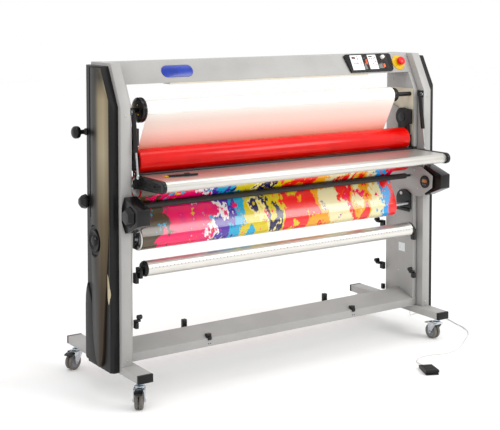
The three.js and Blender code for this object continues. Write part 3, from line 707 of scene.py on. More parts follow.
class LAMINATOR_OT_stage(bpy.types.Operator):
    """Camera, plain floor and soft studio light"""

    bl_idname = "laminator.stage"
    bl_label = "Stage"

    def execute(self, context):
        camera = bpy.data.objects.new("camera", bpy.data.cameras.new("camera"))
        context.scene.collection.objects.link(camera)
        camera.location = place(*EYE)
        flat = math.cos(VIEW_PITCH)
        back = Vector((math.sin(VIEW_AZIMUTH) * flat, -math.cos(VIEW_AZIMUTH) * flat,
                       math.sin(VIEW_PITCH)))
        camera.rotation_euler = (-back).to_track_quat("-Z", "Y").to_euler()
        camera.data.lens = LENS_MM
        camera.data.shift_y = LENS_DROP
        camera.data.clip_end = 100
        context.scene.camera = camera

        deselect()
        bpy.ops.mesh.primitive_plane_add(size=40, location=(0, 0, -0.0005))
        floor = named("studio_floor")
        settle(floor)
        paper = bpy.data.materials.new("seamless_paper")
        paper.use_nodes = True
        shader = paper.node_tree.nodes["Principled BSDF"]
        shader.inputs["Base Color"].default_value = settings().floor_colour
        shader.inputs["Roughness"].default_value = 0.9
        floor.data.materials.append(paper)

        world = bpy.data.worlds.new("studio")
        world.use_nodes = True
        world.node_tree.nodes["Background"].inputs["Color"].default_value = (1, 1, 1, 1)
        world.node_tree.nodes["Background"].inputs["Strength"].default_value = 1.0
        context.scene.world = world
        context.scene.view_settings.view_transform = "Standard"

        for name, spot, aim, size, power in (
            ("key_window", (2600, -3600, 3200), (300, 0, 800), (2.4, 1.6), 75),
            ("fill_window", (-4200, -1500, 2600), (-900, 0, 900), (1.6, 2.6), 8),
            ("top_window", (0, -900, 4200), (0, 0, 900), (4.0, 1.0), 30),
        ):
            lamp = bpy.data.lights.new(name, "AREA")
            lamp.shape = "RECTANGLE"
            lamp.size, lamp.size_y = size
            lamp.energy = power
            lamp.color = settings().window_colour
            holder = bpy.data.objects.new(name, lamp)
            context.scene.collection.objects.link(holder)
            holder.location = place(*spot)
            holder.rotation_euler = (place(*aim) - place(*spot)).to_track_quat("-Z", "Y").to_euler()
        return {"FINISHED"}


LIE = 3.3
CORD_ROUTE = (
    (1026.2, 25, 190), (1042, 25.5, 188), (1057, 29, 179), (1068, 36, 160), (1076, 45, 130),
    (1083, 57, 92), (1090, 71, 54), (1100, 85, 22), (1116, 97, 7), (1139, 107, LIE),
    (1168, 112, LIE), (1202, 106, LIE), (1232, 84, LIE), (1250, 48, LIE),
    (1257, 0, LIE), (1252, -48, LIE), (1241, -92, LIE), (1216, -180, LIE),
    (1193, -268, LIE), (1138, -356, LIE), (1032, -436, LIE), (928, -507, LIE),
    (852, -540, LIE), (776, -545, LIE), (706, -524, LIE), (636, -520, LIE),
    (584, -543, LIE), (556, -574, LIE), (550, -610, 3.8), (540.8, -645.6, 4.6),
)


class LAMINATOR_OT_pedal_cord(bpy.types.Operator):
    """The foot pedal, its cord and the gland it leaves the machine by"""

    bl_idname = "laminator.pedal_cord"
    bl_label = "Foot pedal and cord"

    def execute(self, context):
        flex = wire("foot_pedal_flex", CORD_ROUTE, settings().cord_radius)
        dressed(flex, "pale_grey_pvc", replaces=("pedal_cord",))

        gland = centre("cord_gland")
        face = span("cord_gland")[0].x
        tip = span("cord_gland")[1].x
        rings = [(0, face), (9, face), (9, face + 5), (7, face + 7)]
        for i in range(4):
            start = face + 8 + i * 3.6
            rings += [(6.3 - 0.4 * i, start), (6.3 - 0.4 * i, start + 2), (5.0 - 0.2 * i, start + 2.2),
                      (5.0 - 0.2 * i, start + 3.4)]
        rings += [(4, tip), (0, tip)]
        relief = lathe("cord_strain_relief", rings, "X", gland, 32)
        dressed(relief, "moulded_black_abs", replaces=("cord_gland",))

        for name in ("pedal_base", "pedal_treadle"):
            softened(name, 1.6, "moulded_black_abs")
        ribs = []
        turn = Matrix.Rotation(math.radians(-25), 4, "Z")
        middle = (centre("pedal_treadle").x, centre("pedal_treadle").y)
        for i in range(8):
            along = -42 + i * 11.5
            height = 25 - (along + 57) * 9 / 117
            rib = block("rib", (-27, along, height - 1), (27, along + 5, height + 0.9), 0.5)
            there = Matrix.Translation(place(*middle, 0))
            ribs.append(moved(rib, there @ turn @ Matrix.Translation(-ORIGIN)))
        dressed(joined("pedal_tread_ribs", ribs), "black_tube_rubber", "pedal_treadle")
        return {"FINISHED"}


# ---- frame ----------------------------------------------------------------------------------


class LAMINATOR_OT_frame(bpy.types.Operator):
    """Posts, side plates, beams and feet with their screws and end caps"""

    bl_idname = "laminator.frame"
    bl_label = "Frame"

    def execute(self, context):
        edge = settings().edge_round
        names = [f"{side}_{part}" for side, _ in SIDES for part in ("post", "plate", "foot")]
        for name in [*names, "top_beam", "stretcher_beam"]:
            dressed(refined(name, edge), "satin_powder_coat", replaces=(name,))
        self.foot_caps()
        self.screws()
        self.beam_trim()
        self.inner_panels()
        return {"FINISHED"}

    def foot_caps(self):
        low, high = span("right_foot")
        for end, y in (("front", low.y), ("rear", high.y)):
            out = -1 if y < 0 else 1
            near, far = sorted((y - out * 12, y + out * 2.5))
            plug = block(f"right_foot_cap_{end}", (low.x - 0.5, near, low.z - 0.5),
                         (high.x + 0.5, far, high.z + 0.5), 1.6, 3)
            dressed(plug, "moulded_black_abs")
            dressed(mirrored(plug, f"left_foot_cap_{end}"), "moulded_black_abs")

    def screws(self):
        face = PLATE_INNER - 0.2
        places = ((-120, 360), (-60, 340), (20, 352), (-120, 452), (-70, 470), (10, 455), (-130, 540),
                  (-40, 548), (20, 700), (-115, 1385), (0, 1420), (20, 1180), (-20, 640))
        heads = [bolt("screw", face, y, z, "X", -1, 3.6, 2.0) for y, z in places]
        right = joined("right_plate_screws", heads)
        dressed(right, "zinc_plate")
        dressed(mirrored(right, "left_plate_screws"), "zinc_plate")
        front = span("right_post")[0].y
        heads = [bolt("screw", 935, front + 0.2, z, "Y", -1, 4, 2) for z in (186, 1330)]
        right = joined("right_post_screws", heads)
        dressed(right, "zinc_plate")
        dressed(mirrored(right, "left_post_screws"), "zinc_plate")

        low, high = span("stretcher_beam")
        clips = []
        for x in (-455, 455):
            clips.append(block("clip", (x - 14, low.y + 2, low.z + 26), (x + 14, low.y + 24, low.z + 62),
                               3, 3))
            clips.append(block("clip", (x - 10, low.y - 7, low.z + 32), (x + 10, low.y + 4, low.z + 50),
                               3, 3))
            clips += [bolt("dot", x + dx, low.y + 0.2, low.z + 14, "Y", -1, 2.6, 1.6) for dx in (-6, 6)]
        for x in (-502, 387):
            clips.append(block("clip", (x - 12, -22, high.z - 22), (x + 12, 0, high.z + 22), 3, 3))
        dressed(joined("stretcher_clips", clips), "gloss_black_abs")

    def beam_trim(self):
        half_height = 31
        outline = arc(-533, 2, half_height, -90, 90, 12) + arc(-647, 2, half_height, 90, 270, 12)
        badge = on_slope(prism("blank_badge", outline, "Z", 0.3, 3.0, 1.0, 2))
        dressed(badge, "blue_badge_enamel")
        low = BEAM_LOW.z
        strip = block("beam_lip", (-645, -128, low - 8), (593, -60, low - 0.4), 1.0)
        dressed(strip, "cream_enamel")
        marks = [bolt("screw", x, BEAM_LOW.y + 30, low, "Z", -1, 3.5, 2) for x in (-850, 850)]
        dressed(joined("beam_screws", marks), "zinc_plate")

    def inner_panels(self):
        x0, x1 = PLATE_INNER - 2.2, PLATE_INNER - 0.3
        outline = [(-172, 1062), (28, 1062), (28, 1340)] + arc(-7, 1340, 35, 0, 90, 8) + [(-172, 1375)]
        panel = prism("right_inner_panel", outline, "X", x0, x1, 0.6)
        dressed(panel, "cream_enamel")
        dressed(mirrored(panel, "left_inner_panel"), "cream_enamel")
        stay = [(-60, 1122), (38, 1122), (38, 1262), (10, 1288), (-60, 1262)]
        bracket = prism("right_arm_bracket", stay, "X", 866.5, x0 - 0.2, 2, 2)
        dressed(bracket, "satin_powder_coat")
        dressed(mirrored(bracket, "left_arm_bracket"), "satin_powder_coat")
        base = block("right_arm_stop", (848, -52, 1082), (x0 - 0.2, 26, 1116), 3, 3)
        dressed(base, "gloss_black_abs")
        dressed(mirrored(base, "left_arm_stop"), "gloss_black_abs")
        rods = [lathe("rod", [(0, 1040), (4, 1040), (4, 1118), (0, 1118)], "Z", (x, y, 0), 16)
                for x, y in ((866, -168), (872, -152))]
        pair = joined("right_guide_rods", rods)
        dressed(pair, "gloss_black_abs")
        dressed(mirrored(pair, "left_guide_rods"), "gloss_black_abs")


class LAMINATOR_OT_side_covers(bpy.types.Operator):
    """Moulded side covers with their bronze barrels, knobs and mains inlet"""

    bl_idname = "laminator.side_covers"
    bl_label = "Side covers"

    def execute(self, context):
        for side, _ in SIDES:
            shell = refined(f"{side}_cover", settings().cover_round, 3)
            dressed(shell, "moulded_black_abs", replaces=(f"{side}_cover",))
        self.barrels()
        self.trim()
        self.knobs()
        self.inlet()
        return {"FINISHED"}

    def barrels(self):
        low, high = span("right_barrel")
        bulge = high.x - low.x
        middle = (low.y + high.y) / 2
        half = (high.y - low.y) / 2
        plan = [(low.x, low.y)]
        for i in range(49):
            t = -1 + 2 * i / 48
            plan.append((low.x + 0.4 + (bulge - 0.4) * (1 - t * t), middle + half * t))
        plan.append((low.x, high.y))
        barrel = prism("right_barrel_shell", plan, "Z", low.z, high.z, 0)
        rear = smooth([(8, 1548), (8, 900), (8, 560), (-2, 400), (-24, 260), (-62, 165), (-100, 138),
                       (-124, 190), (-136, 320), (-150, 480), (-166, 640), (-178, 820), (-178, 1100)],
                      5, closed=False)
        outline = rear + [(-178, 1400), (-104, 1546)]
        mask = prism("mask", outline, "X", low.x - 2, high.x + 2, 0)
        cut(barrel, mask, operation="INTERSECT")
        rounded(outwards(barrel), 1.0, 2, 40)
        left = mirrored(barrel, "left_barrel_shell")
        wheel = centre("hand_wheel")
        well = lathe("well", [(0, -COVER_FACE + 1), (70, -COVER_FACE + 1), (86, -COVER_FACE - 30),
                              (0, -COVER_FACE - 30)], "X", wheel, 64)
        cut(left, well)
        dressed(barrel, "bronze_lacquer", replaces=("right_barrel",), angle=25)
        dressed(left, "bronze_lacquer", replaces=("left_barrel",), angle=25)
        rim = [(54, -COVER_FACE - 0.4), (69, -COVER_FACE - 0.4), (70, -COVER_FACE - 2),
               (66, -COVER_FACE - 3),
               (56, -COVER_FACE - 1.5)]
        dressed(lathe("hand_wheel_well_rim", rim, "X", wheel, 64), "moulded_black_abs")

    def trim(self):
        face = COVER_FACE
        shapes = {
            "skirt": ([(44, 512), (56, 484), (64, 452), (68, 400), (68, 150), (60, 140), (-60, 138),
                       (-56, 190),
                       (-34, 290), (-4, 420), (20, 470)], face - 6, face + 5, 3.0, "moulded_black_abs"),
            "insert": ([(-152, 606), (-170, 575), (-193, 500), (-182, 470), (-172, 448), (-162, 480),
                        (-158, 540)], face - 1, face + 1.6, 0.8, "champagne_lacquer"),
            "rear_rib": ([(14, 1546), (17, 1546), (17, 830), (14, 830)], face - 1, face + 2, 0.8,
                         "gloss_black_abs"),
            "front_rib": ([(-186, 1330), (-182.5, 1330), (-182.5, 300), (-186, 300)], face - 2,
                          face + 1.2, 0.8,
                          "gloss_black_abs"),
        }
        for name, (outline, start, end, round_off, finish) in shapes.items():
            piece = prism(f"right_cover_{name}", outline, "X", start, end, round_off, 3)
            dressed(piece, finish)
            dressed(mirrored(piece, f"left_cover_{name}"), finish)

    def knobs(self):
        def knob(name, body, profile, node_name, steps=64, round_off=0.0, finish="gloss_black_abs"):
            shape = [(r, -(COVER_FACE + d)) for r, d in profile]
            piece = lathe(name, shape, "X", centre(node_name), steps, round_off)
            return dressed(piece, finish, body, replaces=(node_name,))

        knob("upper_tension_knob", "tension_knob_upper",
             [(0, 0.5), (17, 0.5), (17, 7), (13, 11), (11, 18), (11, 32), (14, 36), (22, 38), (27, 41),
              (30, 47), (30, 60), (28, 66), (22, 71.5), (12, 74.5), (0, 75)], "tension_knob_upper")
        knob("lower_tension_knob", "tension_knob_lower",
             [(0, 0.5), (30, 0.5), (37, 7), (31, 30), (19, 40), (0, 42)], "tension_knob_lower", 6, 2.0)
        knob("hand_wheel_dish", "hand_wheel",
             [(0, 0.5), (52, 0.5), (52, 8), (49, 11), (45, 10), (38, 5), (30, 4), (26, 6), (24, 11),
              (20, 14), (12, 15.5), (0, 15.5)], "hand_wheel", finish="moulded_black_abs")
        spot = centre("hand_wheel")
        grip = lathe("hand_wheel_grip", [(0, -COVER_FACE - 5), (7, -COVER_FACE - 5),
                                         (8, -COVER_FACE - 11),
                                         (6, -COVER_FACE - 15), (0, -COVER_FACE - 16)], "X",
                     (0, spot.y - 26, spot.z + 16), 32)
        dressed(grip, "gloss_black_abs", "hand_wheel")

    def inlet(self):
        low, high = span("power_inlet")
        body = block("mains_inlet", low, high, 1.2, 3)
        middle = (low + high) / 2
        socket = block("socket", (low.x + 5, high.y - 5, low.z + 8), (high.x - 5, high.y + 3, low.z + 28),
                       0.5)
        cut(body, socket)
        dressed(body, "moulded_black_abs", replaces=("power_inlet",))
        pins = [block("pin", (middle.x - 1 + dx, high.y - 5.5, low.z + 14 + dz),
                      (middle.x + 1 + dx, high.y - 1, low.z + 20 + dz), 0.3) for dx,
                dz in ((-6, 0), (0, 3), (6, 0))]
        dressed(joined("mains_inlet_pins", pins), "zinc_plate")
        rocker = block("mains_switch", (low.x + 6, high.y - 1, high.z - 17),
                       (high.x - 6, high.y + 2.5, high.z - 4), 1)
        dressed(rocker, "red_button_plastic")


class LAMINATOR_OT_controls(bpy.types.Operator):
    """Control panel, keys, dial and emergency stop on the beam's sloping face"""

    bl_idname = "laminator.controls"
    bl_label = "Controls"

    def execute(self, context):
        bezel = refined("control_panel", 3.2, 4, "control_bezel")
        dressed(bezel, "gloss_black_abs", replaces=("control_panel",))
        face = 12.2
        plates = (
            ("membrane_left", 487, 568, -39, 48, face, 0.8, "white_membrane"),
            ("membrane_right", 607, 668, -37, 48, face, 0.8, "white_membrane"),
            ("strip_centre", 571, 604, -36, 46, face, 0.5, "dark_glass_window"),
            ("strip_side", 671, 742, -34, 46, face, 0.5, "dark_glass_window"),
        )
        for name, x0, x1, s0, s1, height, thick, finish in plates:
            dressed(on_slope(block(name, (x0, s0, height), (x1, s1, height + thick), 0.35)), finish)
        marks = {
            "display_windows": ("dark_glass_window",
                                ((497, 520, 26, 38), (576, 600, 28, 40), (615, 640, 34, 41))),
            "display_digits": ("display_red", ((505, 508, 28.5, 35.5), (510, 513, 28.5, 35.5),
                                               (515, 517, 28.5, 35.5),
                                               (626, 631, 36, 39.5), (634, 637, -8, 0))),
            "status_bar": ("display_green", ((617, 623, 36, 39.5),)),
            "orange_keys": ("orange_key_plastic",
                            ((588, 592, -6, 22), (595, 599, -10, 24), (578, 582, -10, 2),
                                                   (654, 661, 4, 12), (656, 662, -16, -9),
                             (552, 558, -2, 5))),
            "grey_keys": ("key_grey", ((533, 539, 36, 42), (533, 540, 22, 29), (505, 511, -2, 4),
                                       (515, 521, -2, 4),
                                       (526, 534, -4, 5), (543, 547, -2, 5), (617, 623, 22, 28),
                                       (631, 637, 22, 28),
                                       (645, 651, 24, 30), (655, 661, 26, 33), (632, 638, -10, -3))),
        }
        for name, (finish, boxes) in marks.items():
            keys = [block("key", (x0, s0, face + 0.7), (x1, s1, face + 1.3), 0.25) for x0, x1, s0,
                    s1 in boxes]
            dressed(on_slope(joined(name, keys)), finish)

        key = refined("start_key", 1.0, 3, "start_key_cap")
        dressed(key, "orange_key_plastic", "start_key", replaces=("start_key",))
        self.turned("speed_dial_knob", [(0, 12.5), (11, 12.5), (11, 20), (10, 26), (8.5, 28), (0, 28)],
                    709, 31,
                    "white_nylon", "speed_dial", "speed_dial", 32)
        mark = block("dial_mark", (708.2, 34, 27.5), (709.8, 40, 28.6), 0.3)
        dressed(on_slope(mark), "gloss_black_abs", "speed_dial")
        stop_x = centre("stop_collar").x
        self.turned("stop_disc", [(14, 0.3), (42, 0.3), (42, 4), (40, 6), (35, 8), (33, 11), (14, 11)],
                    stop_x, 0,
                    "yellow_enamel", "frame", "stop_collar")
        self.turned("stop_mushroom", [(0, 8), (12, 8), (12, 18), (19, 19), (22.5, 21), (23, 25), (23, 33),
                                      (21, 37),
                                      (16, 40), (8, 41.5), (0, 42)], stop_x, 0, "red_button_plastic",
                    "stop_button", "stop_button")
        return {"FINISHED"}

    def turned(self, name, profile, x, s, finish, body, node_name, steps=64):
        piece = on_slope(lathe(name, profile, "Z", (x, s, 0), steps))
        return dressed(piece, finish, body, replaces=(node_name,))


# ---- rollers and film -----------------------------------------------------------------------

JOURNAL = span("top_roller")[1].x
SHAFT_END = span("supply_shaft")[1].x
ROLLER_RADIUS = 60
ROLLER_HALF = 840


class LAMINATOR_OT_nip_rollers(bpy.types.Operator):
    """The two silicone rollers, their journals and the arms that lift the upper one"""

    bl_idname = "laminator.nip_rollers"
    bl_label = "Nip rollers"

    def execute(self, context):
        for name, middle in (("top_roller", TOP_ROLLER), ("lower_roller", LOWER_ROLLER)):
            half, radius = ROLLER_HALF, ROLLER_RADIUS
            sleeve = [(48, -half), (radius - 6, -half)]
            sleeve += [(radius - 6 + 6 * math.sin(t), -half + 6 - 6 * math.cos(t)) for t in (0.5, 1.0,
                                                                                             1.57)]
            sleeve += [(r, -x) for r, x in sleeve[::-1]]
            skin = lathe(f"{name}_sleeve", sleeve, "X", middle, 128)
            dressed(skin, "red_silicone", name, replaces=(name,))
            core = [(0, -JOURNAL), (14, -JOURNAL), (15, -JOURNAL + 1), (15, -half - 2), (47, -half + 2),
                    (47.8, -half + 3),
                    (47.8, half - 3), (47, half - 2), (15, half + 2), (15, JOURNAL - 1), (14, JOURNAL),
                    (0, JOURNAL)]
            dressed(lathe(f"{name}_core", core, "X", middle, 64), "turned_steel", name)
        for side, sign in SIDES:
            node_name = f"{side}_lift_arm"
            arm = refined(node_name, 3, 3)
            dressed(arm, "moulded_black_abs", "roller_lift", replaces=(node_name,))
            inner = ROLLER_HALF + 4
            hub = [(0, sign * inner), (26, sign * inner), (26, sign * (inner - 2)),
                   (22, sign * (inner - 3.5)),
                   (0, sign * (inner - 3.5))]
            boss = lathe(f"{side}_lift_boss", hub, "X", (0, -117, 1216), 48)
            dressed(boss, "gloss_black_abs", "roller_lift")
        return {"FINISHED"}


def tangent_run(start, end):
    """Where a straight run of web touches two rolls, each (y, z, radius, side): side is -1 where
    the web passes in front of the roll and +1 behind it."""
    (y0, z0, r0, s0), (y1, z1, r1, s1) = start, end
    length = math.hypot(y1 - y0, z1 - z0)
    heading = math.atan2(z1 - z0, y1 - y0)
    turn = math.asin((s1 * r1 - s0 * r0) / length)
    angle = heading + math.pi / 2 + turn if z1 < z0 else heading - math.pi / 2 - turn
    normal = (math.cos(angle), math.sin(angle))
    return ((y0 + normal[0] * r0 * s0, z0 + normal[1] * r0 * s0),
            (y1 + normal[0] * r1 * s1, z1 + normal[1] * r1 * s1))


class LAMINATOR_OT_film(bpy.types.Operator):
    """The film on its shaft and its run down to the upper roller"""

    bl_idname = "laminator.film"
    bl_label = "Film supply"

    def execute(self, context):
        low, high = span("film_roll")
        radius = (high.z - low.z) / 2
        roll = [(21, low.x + 0.5), (radius - 1, low.x + 0.5), (radius, low.x + 1.5),
                (radius, high.x - 1.5),
                (radius - 1, high.x - 0.5), (21, high.x - 0.5)]
        dressed(lathe("film_on_roll", roll, "X", SUPPLY, 128), "wound_film", "film_supply",
                replaces=("film_roll",))
        chuck = [(0, -SHAFT_END), (12, -SHAFT_END), (12, -842), (44, -841), (50, -838), (54, -834),
                 (59, -832), (60, -830),
                 (60, -824), (57, -822.5), (57, -819), (60, -817.5), (60, -811), (58, -808), (50, -806),
                 (20, low.x - 1), (20, high.x + 2), (30, high.x + 3), (36, high.x + 7), (37, high.x + 12),
                 (37, high.x + 32), (34, high.x + 37), (26, high.x + 44), (12, high.x + 46),
                 (12, SHAFT_END), (0, SHAFT_END)]
        shaft = lathe("supply_chuck_shaft", chuck, "X", SUPPLY, 96)
        dressed(shaft, "gloss_black_abs", "film_supply", replaces=("supply_shaft",))
        heads = []
        for i in range(4):
            t = math.radians(35 + 90 * i)
            heads.append(bolt("screw", high.x + 43, SUPPLY.y + 18 * math.cos(t),
                              SUPPLY.z + 18 * math.sin(t), "X", 1, 3, 2))
            heads.append(bolt("screw", -806.5, SUPPLY.y + 50 * math.cos(t), SUPPLY.z + 50 * math.sin(t),
                              "X", 1, 3, 2))
            heads.append(bolt("screw", -840.5, SUPPLY.y + 32 * math.cos(t), SUPPLY.z + 32 * math.sin(t),
                              "X", -1, 3.5, 2))
        dressed(joined("supply_chuck_screws", heads), "brass_blade", "film_supply")

        clear = 1.5
        run = tangent_run((SUPPLY.y, SUPPLY.z, radius + clear, -1),
                          (TOP_ROLLER.y, TOP_ROLLER.z, ROLLER_RADIUS + clear, 1))
        web = ribbon("film_run", run, low.x, high.x, 0.6)
        dressed(web, "laminating_film", replaces=("film_web",))
        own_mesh(web)
        touch = math.degrees(math.atan2(run[1][1] - TOP_ROLLER.z, run[1][0] - TOP_ROLLER.y))
        wrap = arc(TOP_ROLLER.y, TOP_ROLLER.z, ROLLER_RADIUS + 0.6, touch, -84, 32)
        dressed(ribbon("film_wrap", wrap, low.x, high.x, 0.6), "laminating_film", "roller_lift")
        return {"FINISHED"}


class LAMINATOR_OT_print(bpy.types.Operator):
    """The printed vinyl on its roll, round the idler and up to the nip"""

    bl_idname = "laminator.print_roll"
    bl_label = "Print roll"

    def execute(self, context):
        low, high = span("print_roll")
        radius = (high.z - low.z) / 2
        roll = [(26, low.x + 0.5), (radius - 1, low.x + 0.5), (radius, low.x + 1.5),
                (radius, high.x - 1.5),
                (radius - 1, high.x - 0.5), (26, high.x - 0.5)]
        dressed(lathe("print_on_roll", roll, "X", PRINT, 128), "printed_vinyl", "print_supply",
                replaces=("print_roll",))
        end = span("print_shaft")[1].x
        left = low.x
        shaft = [(0, -end), (12, -end), (12, left - 11), (18, left - 11), (20, left - 9), (34, left - 8),
                 (40, left - 3), (46, left - 2.4), (46, left - 1), (25.4, left - 0.5),
                 (25.4, high.x + 2), (35, high.x + 3), (36, high.x + 5), (36, high.x + 16),
                 (12, high.x + 19),
                 (12, end), (0, end)]
        dressed(lathe("print_chuck_shaft", shaft, "X", PRINT, 64), "turned_steel", "print_supply",
                replaces=("print_shaft",))
        ring = [(46.4, left - 1), (46.4, left - 5), (48, left - 6), (52, left - 6), (53.5, left - 4.5),
                (53.5, left - 1)]
        dressed(lathe("print_core_ring", ring, "X", PRINT, 64), "white_nylon", "print_supply")
        bar_end = span("idler_bar")[1].x
        bar = [(0, -bar_end), (7, -bar_end), (7, -840), (14, -840), (15, -838), (15, 838), (14, 840),
               (7, 840), (7, bar_end),
               (0, bar_end)]
        dressed(lathe("idler_tube", bar, "X", IDLER, 48), "black_tube_rubber", "idler_bar",
                replaces=("idler_bar",))

        clear = 1.5
        roll_side = (PRINT.y, PRINT.z, radius + clear, -1)
        idler_side = (IDLER.y, IDLER.z, 15 + clear, 1)
        nip_side = (LOWER_ROLLER.y, LOWER_ROLLER.z, ROLLER_RADIUS + clear, -1)
        up = tangent_run(roll_side, idler_side)
        over = tangent_run(idler_side, nip_side)

        def angle(point, roll):
            return math.degrees(math.atan2(point[1] - roll[1], point[0] - roll[0]))

        bend = arc(IDLER.y, IDLER.z, 15 + clear, angle(up[1], idler_side), angle(over[0], idler_side), 16)
        start = angle(over[1], nip_side) % 360
        wrap = arc(LOWER_ROLLER.y, LOWER_ROLLER.z, ROLLER_RADIUS + clear, start, 108, 32)
        web = ribbon("print_run", [up[0], *bend, *wrap], low.x, high.x, 0.7)
        dressed(web, "printed_vinyl", replaces=("print_web",))
        self.latch()
        return {"FINISHED"}

    def latch(self):
        """Quarter-round bearing brackets that hold the print shaft, with their levers."""
        quarter = [(-168, 700), (-92, 700), (-60, 722)] + arc(-112, 752, 56, 0, 90, 10) + [(-130, 808),
                                                                                           (-168, 790)]
        x0, x1 = PLATE_INNER - 20, PLATE_INNER - 4
        plate = prism("right_shaft_bracket", quarter, "X", x0, x1, 3, 3)
        notch = lathe("notch", [(0, x0 - 2), (14, x0 - 2), (14, x1 + 2), (0, x1 + 2)], "X", PRINT, 32)
        cut(plate, notch)
        dressed(plate, "gloss_black_abs")
        dressed(mirrored(plate, "left_shaft_bracket"), "gloss_black_abs")
        lever = block("right_shaft_lever", (x0 - 10, -176, 690), (x0 - 1, -66, 706), 3, 3)
        dressed(lever, "gloss_black_abs")
        dressed(mirrored(lever, "left_shaft_lever"), "gloss_black_abs")
        head = bolt("right_shaft_bolt", x0, -100, 786, "X", -1, 9, 5)
        dressed(head, "white_nylon")
        dressed(mirrored(head, "left_shaft_bolt"), "white_nylon")


class LAMINATOR_OT_front_tube(bpy.types.Operator):
    """The spare aluminium tube and the black cradles along both side plates"""

    bl_idname = "laminator.front_tube"
    bl_label = "Front tube"

    def execute(self, context):
        radius = 37.5
        tube = [(30, -824), (radius - 1, -824), (radius, -823), (radius, 823), (radius - 1, 824),
                (30, 824)]
        dressed(lathe("spare_tube", tube, "X", TUBE, 96), "scaled_aluminium", "front_tube",
                replaces=("front_tube",))
        for side, sign in SIDES:
            cap = [(0, 819), (29, 819), (29, 824.4), (36.5, 824.4), (38, 827), (37, 833), (32, 840),
                   (20, 843), (8.6, 844),
                   (8, 845), (8, 866), (0, 866)]
            shape = [(r, sign * x) for r, x in cap]
            dressed(lathe(f"{side}_tube_plug", shape, "X", TUBE, 64), "gloss_black_abs", "front_tube")
        self.cradles()
        return {"FINISHED"}

    def cradles(self):
        """Each cradle is a block on the plate's edge with an arm that a shaft lies on."""
        face = PLATE_INNER - 0.4
        hook = [(-222, 562), (-178, 562), (-178, 610), (-184, 610), (-188, 596)]
        hook += [(y, z) for y, z in arc(TUBE.y, TUBE.z, 10.5, -25, -155, 8)] + [(-214, 598), (-222, 604)]
        parts = {
            "front_cradle": [("prism", hook, 848, 864), ("block", (860, -206, 536), (face, -178, 586))],
            "front_hook": [("block", (862, -206, 322), (face, -180, 352)),
                           ("block", (846, -196, 350), (face, -180, 362)),
                           ("peg", -188, 372, 838, 862)],
            "rear_cradle": [("block", (862, 52, 560), (face, 84, 604)),
                            ("block", (842, 70, 590), (866, 98, 604)),
                            ("peg", 94, 608, 836, 864)],
            "rear_hook": [("block", (862, 52, 322), (face, 84, 362)),
                          ("block", (842, 70, 350), (866, 98, 364)),
                          ("peg", 94, 370, 836, 864)],
            "rear_stop": [("block", (862, 52, 206), (face, 72, 236))],
        }
        for name, items in parts.items():
            made = []
            for kind, *facts in items:
                if kind == "block":
                    made.append(block("part", *facts, 2.5, 3))
                elif kind == "prism":
                    made.append(prism("part", *facts[:1], "X", *facts[1:], 1.2, 2))
                else:
                    y, z, x0, x1 = facts
                    made.append(lathe("part", [(0, x0), (9, x0), (11, x0 + 2), (11, x1 - 2), (9, x1),
                                               (0, x1)], "X",
                                      (0, y, z), 32))
            piece = joined(f"right_{name}", made)
            dressed(piece, "gloss_black_abs")
            dressed(mirrored(piece, f"left_{name}"), "gloss_black_abs")
        label = block("blank_label", (PLATE_INNER - 1.2, -112, 452), (PLATE_INNER - 0.3, -60, 500), 0.3)
        dressed(label, "white_membrane")


# ---- feed table -----------------------------------------------------------------------------


